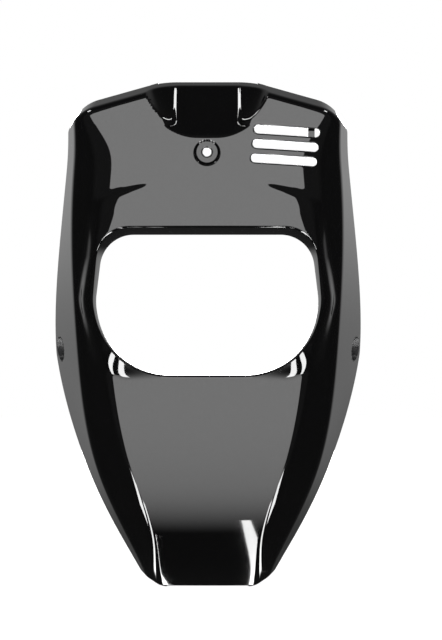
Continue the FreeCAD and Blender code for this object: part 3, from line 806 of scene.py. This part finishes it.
def bar(low: Place, high: Place, lean: float = 0.0, slant: float = 0.0,
        corner_share: float = 0.2) -> Surface:
    """Flat bar along the depth, with softened corners.

    Args:
        low: lowest corner.
        high: highest corner.
        lean: rise for each unit of depth.
        slant: rise for each unit across.
        corner_share: radius of the corners as a share of the shorter side.

    Returns:
        Closed surface of the bar.
    """
    corner = corner_share * min(high[0] - low[0], high[2] - low[2])
    outline = RoundedOutline(((low[0], low[2], corner), (high[0], low[2], corner),
                              (high[0], high[2], corner), (low[0], high[2], corner)))
    x, z = outline.points(on_arc=4, on_edge=2).T
    rise = (x - low[0]) * slant
    rings = [np.stack([x, np.full_like(x, depth), z + rise + lean * (depth - low[1])], axis=1)
             for depth in (low[1], high[1])]
    return Surface.tube(np.stack(rings))


@dataclass(frozen=True)
class Lip:
    """Rounded lip of a hole: a quarter roll that stops short of lying flat in the skin."""

    radius: float
    turn: float = math.radians(72.0)
    steps: int = 6
    run_out: float = 3.0

    def rings(self) -> tuple[Array, Array]:
        """Depths from the skin and offsets from the hole's wall, ring by ring, going forwards."""
        angle = np.linspace(0.0, self.turn, self.steps)
        depth, offset = self.radius * (1 - np.sin(angle)), self.radius * (1 - np.cos(angle))
        depth = np.append(depth, depth[-1] - self.run_out * math.cos(self.turn))
        return depth, np.append(offset, offset[-1] + self.run_out * math.sin(self.turn))


def on_skin(outline: Curve, skin: Relief, guess: float, deepest: float) -> Array:
    """Depths where a wall along an outline meets a skin, found in rounds.

    Args:
        outline: closed line of (x, z) points for an array of depths, one for each point.
        skin: depth of the skin for places across and heights.
        guess: depth to start from.
        deepest: depth past which the skin isn't followed.

    Returns:
        One depth for each point of the outline.
    """
    depth = np.full(len(outline(np.array([guess]))), guess)
    for _ in range(SEARCH_ROUNDS):
        x, z = outline(depth).T
        depth = np.minimum(skin(x, z), deepest)
    return depth


def ring(line: Array, depth: Array, offset: float) -> Array:
    """Closed line of (x, z) points, moved outwards by an offset and put at the given depths."""
    x, z = (line + across(line) * offset).T
    return np.stack([x, depth, z], axis=1)


def hole_tool(outline: Curve, skin: Relief, back: float, lip: Lip, guess: float,
              deepest: float = 100.0) -> Surface:
    """Tool that cuts a hole with a rounded lip along the skin.

    The wall of the hole follows the outline from the back to the skin, rolls outwards there, and
    goes straight on in front of the cover.

    Args:
        outline: closed line of (x, z) points for an array of depths, one for each point.
        skin: depth of the skin for places across and heights.
        back: depth of the tool's rear end.
        lip: roll between the wall and the skin.
        guess: depth to start the search for the skin from.
        deepest: depth past which the skin isn't followed.

    Returns:
        Closed surface of the tool.
    """
    edge = on_skin(outline, skin, guess, deepest)
    depths, offsets = lip.rings()
    levels = [np.full_like(edge, back)] + [edge + depth for depth in depths] + [np.full_like(edge, AHEAD)]
    offsets = np.concatenate([[0.0], offsets, offsets[-1:]])
    return Surface.tube(np.stack([ring(outline(np.maximum(level, edge)), level, offset)
                                  for level, offset in zip(levels, offsets)]))


@dataclass(frozen=True)
class HeadlampOpening:
    """Headlamp opening, which narrows from the brow to the lamp's seat, and its flange."""

    front: RoundedOutline = RoundedOutline.even(
        ((106.0, -228.0, 73.0), (117.5, -150.0, 60.0), (109.0, -74.0, 34.0)))
    seat: RoundedOutline = RoundedOutline.even(
        ((101.0, -222.6, 73.0), (111.5, -150.0, 60.0), (103.0, -84.2, 34.0)))
    front_plane: float = -22.0
    seat_plane: float = 20.0
    share_limits: Pair = (-0.5, 1.0)
    points: tuple[int, int] = (22, 18)
    edge_guess: float = -10.0
    edge_limit: float = 100.0
    flange_cover: float = 1.1
    flange_trim: float = 3.0
    tool_reach: float = 12.0
    lip: Lip = Lip(2.0)

    def outline(self, depth: Array) -> Array:
        """Outline points, straight between the two planes' outlines.

        Args:
            depth: one depth, or one for each point.

        Returns:
            Array of (x, z) rows.
        """
        share = (depth - self.front_plane) / (self.seat_plane - self.front_plane)
        share = np.clip(share, *self.share_limits).reshape(-1, 1)
        first, last = self.front.points(*self.points), self.seat.points(*self.points)
        return first + (last - first) * share

    def flange(self, form: CoverForm, wall: float) -> Surface:
        """Ring behind the opening's edge, back to the seat plane; the cut trims its inner side.

        Args:
            form: form whose skin the ring starts behind.
            wall: thickness of the ring.

        Returns:
            Closed surface of the ring.
        """
        start = on_skin(self.outline, form.depth, self.edge_guess, self.edge_limit) + self.flange_cover
        end = np.full_like(start, self.seat_plane)
        rings = [ring(self.outline(level), level, offset) for level, offset in (
            (start, -self.flange_trim), (start, wall), (end, wall), (end, -self.flange_trim))]
        return Surface.hoop(np.stack(rings))

    def tool(self, form: CoverForm) -> Surface:
        """Tool that cuts the opening with its rolled lip."""
        back = self.seat_plane + self.tool_reach
        return hole_tool(self.outline, form.depth, back, self.lip, self.edge_guess, self.edge_limit)


@dataclass(frozen=True)
class VentSlots:
    """Three slots on the right of the upper panel, one below the other and slightly tilted."""

    centre: Pair = (78.5, 6.6)
    pitch: float = 14.7
    stagger: float = 1.6
    half_length: float = 33.0
    half_height: float = 4.3
    end_flat: float = 0.05
    tilt: float = math.radians(-3.4)
    back: float = 19.0
    lip: Lip = Lip(1.3)

    def outline(self, step: int) -> Array:
        """Outline of one slot: a long rounded bar turned by the tilt.

        Args:
            step: number of pitches above the middle slot.

        Returns:
            Array of (x, z) rows.
        """
        radius = self.half_height - self.end_flat
        level = RoundedOutline.even(((self.half_length, -self.half_height, radius),
                                     (self.half_length, self.half_height, radius)))
        cosine, sine = math.cos(self.tilt), math.sin(self.tilt)
        turn = np.array([[cosine, sine], [-sine, cosine]])
        middle = np.array([self.centre[0] + step * self.stagger, self.centre[1] + step * self.pitch])
        return level.points(on_arc=14, on_edge=24) @ turn + middle

    def tools(self, form: CoverForm) -> list[Surface]:
        """Tools that cut the slots, from the top one down."""
        lines = [self.outline(step) for step in (1, 0, -1)]
        return [hole_tool(lambda depth, line=line: line, form.depth, self.back, self.lip, 0.0)
                for line in lines]


@dataclass(frozen=True)
class ScrewSeats:
    """Recessed screw seats: one under the scoop and one on each side wall."""

    floor_radius: float = 10.5
    mouth_slope: float = 0.45
    floor: float = 3.0
    mouth_guess: float = -4.0
    mouth_limit: float = -2.0
    cup_radius: float = 15.5
    cup_front: float = -12.0
    top_hole: float = 4.25
    top_hole_reach: float = 6.0
    side_hole: float = 3.25
    side_hole_ends: Pair = (-12.0, 2.0)
    side_place: Place = (146.0, 100.0, -198.0)
    side_reach: float = 30.0
    side_slope: float = 0.225
    matt_radius: float = 12.8
    lip: Lip = Lip(1.2)
    hole_lip: Lip = Lip(2.0)

    def mouth(self, depth: Array) -> Array:
        """Circle of the top recess at the given depths, wider towards the front."""
        return circle(self.floor_radius - self.mouth_slope * depth, around=96)

    def side_rods(self, radius: float, ends: Pair, end_radius: float | None = None,
                  around: int = 48) -> list[Surface]:
        """Rods or cones on the axes of both side screws.

        Args:
            radius: radius at the inner end.
            ends: how far out both ends are from the recess's floor.
            end_radius: radius at the outer end, if it differs.
            around: number of places round a ring.

        Returns:
            The right rod and the left one.
        """
        out, depth, height = self.side_place
        axes = [[(sign * (out + end), depth, height) for end in ends] for sign in (1, -1)]
        return [rod(radius, start, end, end_radius, around) for start, end in axes]

    def cups(self) -> list[Surface]:
        """Solid cups behind the recesses."""
        top = rod(self.cup_radius, (0.0, self.floor, 0.0), (0.0, self.cup_front, 0.0))
        return [top] + self.side_rods(self.cup_radius, (-self.floor, self.side_reach))

    def tools(self, form: CoverForm) -> list[Surface]:
        """Tools that cut the recesses, then the holes through their floors.

        Args:
            form: form whose skin the top recess is cut into.

        Returns:
            Closed surfaces of the tools.
        """
        recess = hole_tool(self.mouth, form.depth, 0.0, self.lip, self.mouth_guess, self.mouth_limit)
        wide = self.floor_radius + self.side_slope * self.side_reach
        sides = self.side_rods(self.floor_radius, (0.0, self.side_reach), wide, around=72)
        line, back = circle(self.top_hole, around=64), self.floor + self.top_hole_reach
        hole = hole_tool(lambda depth: line, lambda x, z: np.zeros_like(x), back, self.hole_lip, 0.0)
        return [recess] + sides + [hole] + self.side_rods(self.side_hole, self.side_hole_ends)


@dataclass(frozen=True)
class RearFittings:
    """Moulded fittings behind the skin: headlamp bosses, shoulder tabs, top tongues and ribs."""

    boss_half: float = 84.0
    boss_heights: Pair = (-50.0, -244.0)
    boss_radius: float = 5.0
    boss_front: float = -30.0
    boss_end: float = 30.0
    pilot_radius: float = 1.6
    pilot_depth: float = 14.0
    pilot_reach: float = 2.0
    tab_half: float = 105.0
    tab_width: float = 7.0
    tab_depths: Pair = (22.0, 25.0)
    tab_heights: Pair = (14.0, 74.0)
    rib_half: float = 42.0
    rib_thickness: float = 2.0
    rib_heights: Pair = (-350.0, -246.0)
    rib_depths: Pair = (-3.0, 27.0)
    tongue_half: float = 56.0
    tongue_width: float = 9.0
    tongue_thickness: float = 1.6
    tongue_depths: Pair = (58.0, 92.0)
    tongue_pitch: float = 0.291
    tongue_cover: float = 0.95

    def fills(self) -> list[Surface]:
        """Bosses, tabs and ribs, longer than they show, to be trimmed by the skin."""
        forms = []
        for sign in (1, -1):
            forms += [rod(self.boss_radius, (sign * self.boss_half, self.boss_end, height),
                          (sign * self.boss_half, self.boss_front, height))
                      for height in self.boss_heights]
            for centre, width, depths, heights in (
                    (self.tab_half, self.tab_width, self.tab_depths, self.tab_heights),
                    (self.rib_half, self.rib_thickness, self.rib_depths, self.rib_heights)):
                middle = sign * centre
                forms.append(bar((middle - width / 2, depths[0], heights[0]),
                                 (middle + width / 2, depths[1], heights[1])))
        return forms

    def pilots(self) -> list[Surface]:
        """Pilot holes down the bosses."""
        return [rod(self.pilot_radius, (sign * self.boss_half, self.boss_end + self.pilot_reach, height),
                    (sign * self.boss_half, self.boss_end - self.pilot_depth, height), around=24)
                for sign in (1, -1) for height in self.boss_heights]

    def tongues(self, form: CoverForm) -> list[Surface]:
        """Tongues that stand out behind the top rim, inside the thickness of the top wall.

        Args:
            form: form whose roof the tongues follow.

        Returns:
            Closed surfaces of the right tongue and the left one.
        """
        width, pitch = self.tongue_width, self.tongue_pitch
        peak_half, peak_height, _ = form.roof.corners[3]
        top = peak_height - (self.tongue_half - width / 2 - peak_half) * pitch
        start, end = self.tongue_depths
        base = top + form.roof_rise * start - self.tongue_cover - self.tongue_thickness
        forms = []
        for sign in (1, -1):
            left = sign * self.tongue_half - width / 2
            low = base if sign > 0 else base - width * pitch
            forms.append(bar((left, start, low), (left + width, end, low + self.tongue_thickness),
                             form.roof_rise, -sign * pitch))
        return forms


class Value:
    """Number on a node's socket; arithmetic on it adds Math nodes."""

    def __init__(self, graph: "Graph", socket: bpy.types.NodeSocket) -> None:
        """Wrap one output socket of a graph."""
        self.graph, self.socket = graph, socket

    def _math(self, operation: str, first: Any, second: Any) -> "Value":
        """Math node of one operation on two numbers."""
        node = self.graph.node("ShaderNodeMath", {"operation": operation}, {0: first, 1: second})
        return Value(self.graph, node.outputs[0])

    def __add__(self, other: Any) -> "Value":
        """Sum with a number or value."""
        return self._math("ADD", self, other)

    __radd__ = __add__

    def __sub__(self, other: Any) -> "Value":
        """Difference from a number or value."""
        return self._math("SUBTRACT", self, other)

    def __rsub__(self, other: Any) -> "Value":
        """Difference of a number on the left."""
        return self._math("SUBTRACT", other, self)

    def __mul__(self, other: Any) -> "Value":
        """Product with a number or value."""
        return self._math("MULTIPLY", self, other)

    __rmul__ = __mul__


class Graph:
    """Node tree of a material or of the world."""

    def __init__(self, owner: Any) -> None:
        """Start from an empty tree."""
        owner.use_nodes = True
        self.tree = owner.node_tree
        self.tree.nodes.clear()

    def node(self, kind: str, settings: dict[str, Any] | None = None,
             inputs: dict[Any, Any] | None = None) -> Any:
        """Add a node of any kind.

        Args:
            kind: node type name.
            settings: properties to set first.
            inputs: values, sockets or wrapped values for its sockets, by name or number.

        Returns:
            The new node.
        """
        node = self.tree.nodes.new(kind)
        for name, setting in (settings or {}).items():
            setattr(node, name, setting)
        for name, given in (inputs or {}).items():
            source = given.socket if isinstance(given, Value) else given
            if isinstance(source, bpy.types.NodeSocket):
                self.tree.links.new(source, node.inputs[name])
            else:
                node.inputs[name].default_value = source
        return node

    def value(self, node: Any, output: Any = 0) -> Value:
        """Wrapped output of a node."""
        return Value(self, node.outputs[output])

    def noise(self, place: Any, scale: float, detail: float = 2.0, roughness: float = 0.5) -> Value:
        """Noise between 0 and 1, with a number of lumps for each metre."""
        node = self.node("ShaderNodeTexNoise", {}, {"Vector": place, "Scale": scale, "Detail": detail,
                                                    "Roughness": roughness})
        return self.value(node, "Fac")

    def ramp(self, value: Any, start: float, end: float, low: float = 0.0, high: float = 1.0) -> Value:
        """Smooth step from low to high while a value goes from start to end."""
        inputs = {"Value": value, "From Min": start, "From Max": end, "To Min": low, "To Max": high}
        return self.value(self.node("ShaderNodeMapRange", {"interpolation_type": "SMOOTHSTEP"}, inputs))


@dataclass(frozen=True)
class MouldedPlastic:
    """Black moulded plastic: two close tones, a slightly uneven gloss and a faint moulding ripple."""

    name: str
    dark: Colour
    light: Colour
    roughness: float
    roughness_spread: float
    coat: float
    coat_spread: float
    ripple_scale: float
    ripple_height: float
    grain_scale: float
    cloud_scale: float = 14.0
    cloud_detail: float = 3.0
    grain_roughness: float = 0.6
    refraction: float = 1.52
    coat_roughness: float = 0.02

    def material(self) -> bpy.types.Material:
        """Build the material's nodes."""
        material = bpy.data.materials.new(self.name)
        graph = Graph(material)
        place = graph.node("ShaderNodeTexCoord").outputs["Object"]
        cloud = graph.noise(place, self.cloud_scale, self.cloud_detail)
        grain = graph.noise(place, self.grain_scale, roughness=self.grain_roughness)
        ripple = graph.noise(place, self.ripple_scale)
        tone = graph.node("ShaderNodeMix", {"data_type": "RGBA"},
                          {"Factor": cloud, "A": self.dark, "B": self.light})
        bump = graph.node("ShaderNodeBump", {},
                          {"Strength": 1.0, "Distance": self.ripple_height, "Height": ripple})
        skin = graph.node("ShaderNodeBsdfPrincipled", {}, {
            "Base Color": tone.outputs["Result"],
            "Roughness": self.roughness + self.roughness_spread * cloud,
            "IOR": self.refraction,
            "Coat Weight": self.coat + self.coat_spread * grain,
            "Coat Roughness": self.coat_roughness,
            "Normal": bump.outputs["Normal"],
        })
        graph.node("ShaderNodeOutputMaterial", {}, {"Surface": skin.outputs[0]})
        return material


class Finish(Enum):
    """Finishes of the moulding, in the order of its material slots."""

    OUTSIDE = MouldedPlastic(
        "gloss_black_outside", dark=(0.0016, 0.0016, 0.0018, 1.0), light=(0.0030, 0.0030, 0.0033, 1.0),
        roughness=0.035, roughness_spread=0.02, coat=0.58, coat_spread=0.4,
        ripple_scale=160.0, ripple_height=0.000006, grain_scale=620.0)
    INSIDE = MouldedPlastic(
        "satin_black_inside", dark=(0.016, 0.016, 0.017, 1.0), light=(0.026, 0.026, 0.027, 1.0),
        roughness=0.38, roughness_spread=0.16, coat=0.0, coat_spread=0.1,
        ripple_scale=900.0, ripple_height=0.00004, grain_scale=1400.0)


@dataclass(frozen=True)
class FrontCover:
    """The moulded front cover: shell, headlamp opening, vent slots, screw seats and rear fittings."""

    form: CoverForm = CoverForm()
    opening: HeadlampOpening = HeadlampOpening()
    vents: VentSlots = VentSlots()
    seats: ScrewSeats = ScrewSeats()
    fittings: RearFittings = RearFittings()
    wall: float = 2.5
    buried: float = 1.2
    outer_grid: tuple[int, int] = (221, 314)
    hollow_grid: tuple[int, int] = (121, 181)
    hollow_overhang: float = 8.0
    core_grid: tuple[int, int] = (101, 141)
    core_overhang: float = 4.0
    smooth_angle: float = math.radians(33.0)
    back_tilt: float = 0.03

    def solid(self, name: str, grid: tuple[int, int], inset: float, overhang: float) -> bpy.types.Object:
        """Solid inside the skin set in by an inset, closed behind the rim."""
        return Surface.pillow(*self.form.grid(*grid, inset, overhang)).object(name)

    def build(self) -> bpy.types.Object:
        """Build the whole moulding as one closed mesh.

        Returns:
            The finished piece.
        """
        cover = self.solid("front_cover_moulding", self.outer_grid, 0.0, 0.0)
        hollow = self.solid("hollow", self.hollow_grid, self.wall, self.hollow_overhang)
        combine(cover, hollow, Operation.CUT)
        core = self.solid("core", self.core_grid, self.buried, self.core_overhang)
        fills = [self.opening.flange(self.form, self.wall)] + self.seats.cups() + self.fittings.fills()
        for index, form in enumerate(fills):
            fill = form.object(f"fill_{index}")
            combine(fill, core, Operation.SHARE, keep=True)
            combine(cover, fill, Operation.JOIN)
        discard(core)
        for index, form in enumerate(self.fittings.tongues(self.form)):
            combine(cover, form.object(f"tongue_{index}"), Operation.JOIN)
        tools = [self.opening.tool(self.form)] + self.vents.tools(self.form)
        tools += self.seats.tools(self.form) + self.fittings.pilots()
        for index, form in enumerate(tools):
            combine(cover, form.object(f"tool_{index}"), Operation.CUT)
        self.dress(cover)
        return cover

    def dress(self, cover: bpy.types.Object) -> None:
        """Shade the moulding smooth and give its outside and inside their finishes.

        Faces that look backwards belong to the inside, and the side screw seats are as matt.

        Args:
            cover: the moulding.
        """
        mesh = cover.data
        mesh.shade_smooth()
        mesh.set_sharp_from_angle(angle=self.smooth_angle)
        mesh.materials.clear()
        for finish in Finish:
            mesh.materials.append(finish.value.material())
        normals = np.empty(len(mesh.polygons) * 3, dtype=np.float32)
        mesh.polygons.foreach_get("normal", normals)
        centres = np.empty(len(mesh.polygons) * 3, dtype=np.float32)
        mesh.polygons.foreach_get("center", centres)
        out, depth, height = (centres.reshape(-1, 3) / MM).T
        seat_out, seat_depth, seat_height = self.seats.side_place
        in_seat = np.hypot(depth - seat_depth, height - seat_height) < self.seats.matt_radius
        in_seat &= np.abs(out) > seat_out - self.seats.floor
        inside = (normals.reshape(-1, 3)[:, 1] > self.back_tilt) | in_seat
        mesh.polygons.foreach_set("material_index", inside.astype(np.int32))
        mesh.update()


class Facing(Enum):
    """Ways that a flat lamp can face, as the turn about the X axis from facing down."""

    DOWN = 0.0
    BACK = math.pi / 2
    FORWARD = -math.pi / 2
    UP = math.pi


@dataclass(frozen=True)
class Lamp:
    """Flat studio lamp; its radiance is what a mirror would show."""

    name: str
    facing: Facing
    middle: Place
    width: float
    height: float
    radiance: float
    side_fade: float = 0.0
    low_fade: float = 0.0
    high_fade: float = 0.0
    turn: float = 0.0
    least_fade: float = 0.001

    def both_sides(self) -> tuple["Lamp", "Lamp"]:
        """This lamp on the right and its mirror image on the left."""
        x, y, z = self.middle
        return (replace(self, name=f"{self.name}_left", middle=(-x, y, z), turn=-self.turn),
                replace(self, name=f"{self.name}_right"))

    def soften(self, light: bpy.types.Light) -> None:
        """Let the lamp fade out over shares of its width and height, towards its edges.

        Args:
            light: light data of the lamp.
        """
        graph = Graph(light)
        place = graph.node("ShaderNodeNewGeometry").outputs["Parametric"]
        parts = graph.node("ShaderNodeSeparateXYZ", {}, {"Vector": place})
        wide, high = graph.value(parts, "X"), graph.value(parts, "Y")
        glow = 1.0
        for share, end in ((wide, self.side_fade), (1 - wide, self.side_fade), (high, self.low_fade),
                           (1 - high, self.high_fade)):
            glow = graph.ramp(share, 0.0, max(end, self.least_fade)) * glow
        lit = graph.node("ShaderNodeEmission", {}, {"Strength": glow})
        graph.node("ShaderNodeOutputLight", {}, {"Surface": lit.outputs[0]})

    def place(self) -> bpy.types.Object:
        """Put the lamp at its place; its power is radiance times pi times area."""
        light = bpy.data.lights.new(self.name, "AREA")
        light.shape, light.size, light.size_y = "RECTANGLE", self.width, self.height
        light.energy = self.radiance * math.pi * self.width * self.height
        self.soften(light)
        item = bpy.data.objects.new(self.name, light)
        item.location = self.middle
        item.rotation_euler = (self.facing.value, 0.0, self.turn)
        item.visible_camera = False
        bpy.context.collection.objects.link(item)
        return item


@dataclass(frozen=True)
class Glow:
    """Smooth step of the surroundings' glow over one part of a ray's direction."""

    part: str
    start: float
    end: float
    low: float = 0.0
    high: float = 1.0


@dataclass(frozen=True)
class Studio:
    """Pale floor, white surroundings, soft lamps and the camera of the front view."""

    floor_height: float = -0.4448
    floor_half: float = 4.0
    floor_points: int = 9
    floor_tone: Colour = (0.86, 0.86, 0.86, 1.0)
    floor_glow: float = 0.94
    aim: Place = (0.014, 0.0, -0.168)
    azimuth: float = 0.2
    distance: float = 2.2
    picture: tuple[int, int] = (442, 640)
    sensor: float = 36.0
    pixels_per_metre: float = 1000.0
    lamps: tuple[Lamp, ...] = (
        Lamp("front_softbox", Facing.BACK, (0.0, -2.6, -0.4), 2.4, 5.6, 2.3,
             side_fade=0.04, low_fade=0.5, high_fade=0.02),
        Lamp("near_strip_left", Facing.UP, (-0.17, -0.15, -1.4), 0.02, 1.5, 12.0, turn=-0.1),
        Lamp("near_strip_right", Facing.UP, (0.147, -0.4, -1.4), 0.05, 2.0, 12.0, turn=0.045),
        *Lamp("far_strip", Facing.UP, (0.67, -0.7, -1.4), 0.22, 2.8, 12.0,
              low_fade=0.12, high_fade=0.12).both_sides(),
        *Lamp("outer_strip", Facing.UP, (1.3, -1.45, -1.4), 0.45, 1.9, 12.0).both_sides(),
        Lamp("rear_softbox", Facing.FORWARD, (0.0, 2.5, 0.0), 0.9, 0.8, 12.0,
             side_fade=0.1, low_fade=0.1, high_fade=0.1),
        *Lamp("high_strip", Facing.DOWN, (1.0, 0.0, 1.6), 0.22, 0.5, 9.0).both_sides(),
    )
    behind: tuple[Glow, ...] = (
        Glow("Y", 0.45, 0.75, 0.0, 0.3), Glow("Z", -0.28, -0.08), Glow("Z", 0.1, 0.28, 1.0, 0.15))
    ahead: tuple[Glow, ...] = (Glow("Y", -0.5, -0.2, 0.04, 0.0), Glow("Z", -0.55, -0.3))
    gloss_glow: float = 0.03
    matt_glow: float = 0.08

    def light(self) -> None:
        """Place the lamps and the white surroundings."""
        for lamp in self.lamps:
            lamp.place()
            LOG.info("lamp %s", lamp.name)
        world = bpy.data.worlds.new("studio")
        bpy.context.scene.world = world
        graph = Graph(world)
        rays = graph.node("ShaderNodeLightPath")
        camera, glossy = graph.value(rays, "Is Camera Ray"), graph.value(rays, "Is Glossy Ray")
        through = graph.value(rays, "Is Transmission Ray")
        place = graph.node("ShaderNodeTexCoord").outputs["Generated"]
        parts = graph.node("ShaderNodeSeparateXYZ", {}, {"Vector": place})

        def product(glows: tuple[Glow, ...]) -> Any:
            """Product of several glows."""
            total = 1.0
            for glow in glows:
                part = parts.outputs[glow.part]
                total = graph.ramp(part, glow.start, glow.end, glow.low, glow.high) * total
            return total

        mirrored = glossy * (product(self.behind) + product(self.ahead) + self.gloss_glow)
        strength = camera + through + mirrored + (1 - camera) * (1 - glossy) * self.matt_glow
        back = graph.node("ShaderNodeBackground", {}, {"Color": WHITE, "Strength": strength})
        graph.node("ShaderNodeOutputWorld", {}, {"Surface": back.outputs[0]})

    def floor(self) -> bpy.types.Object:
        """Pale floor under the cover that keeps a faint shadow."""
        share = np.linspace(-self.floor_half, self.floor_half, self.floor_points)
        x, y = np.meshgrid(share, share)
        places = np.stack([x, y, np.full_like(x, self.floor_height)], axis=-1).reshape(-1, 3)
        floor = Surface(places / MM, sheet(np.arange(x.size).reshape(x.shape))).object("floor")
        material = bpy.data.materials.new("pale_floor")
        graph = Graph(material)
        seen = graph.value(graph.node("ShaderNodeLightPath"), "Is Camera Ray")
        matt = graph.node("ShaderNodeBsdfDiffuse", {}, {"Color": self.floor_tone})
        white = graph.node("ShaderNodeEmission", {}, {"Color": WHITE, "Strength": seen * self.floor_glow})
        both = graph.node("ShaderNodeAddShader", {}, {0: matt.outputs[0], 1: white.outputs[0]})
        graph.node("ShaderNodeOutputMaterial", {}, {"Surface": both.outputs[0]})
        floor.data.materials.append(material)
        floor.visible_glossy = False
        return floor

    def camera(self) -> bpy.types.Object:
        """Camera in front of the cover, with the lens that gives the picture's scale."""
        data = bpy.data.cameras.new("front_view")
        item = bpy.data.objects.new("front_view", data)
        turn = math.radians(self.azimuth)
        aim = Vector(self.aim)
        item.location = aim + Vector((math.sin(turn), -math.cos(turn), 0.0)) * self.distance
        item.rotation_euler = (math.pi / 2, 0.0, turn)
        data.sensor_width = self.sensor
        data.lens = self.sensor * self.distance * self.pixels_per_metre / max(self.picture)
        bpy.context.collection.objects.link(item)
        bpy.context.scene.camera = item
        return item


def main() -> None:
    """Build the cover and the studio."""
    logging.basicConfig(level=logging.INFO, format="%(name)s: %(message)s", force=True)
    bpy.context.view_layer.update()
    cover = FrontCover().build()
    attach(cover, BODY)
    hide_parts(NODE)
    LOG.info("%s: %d vertices, %d faces", cover.name, len(cover.data.vertices), len(cover.data.polygons))
    studio = Studio()
    studio.light()
    studio.floor()
    studio.camera()
    bpy.context.scene.view_settings.view_transform = "Standard"


if __name__ == "__main__":
    main()
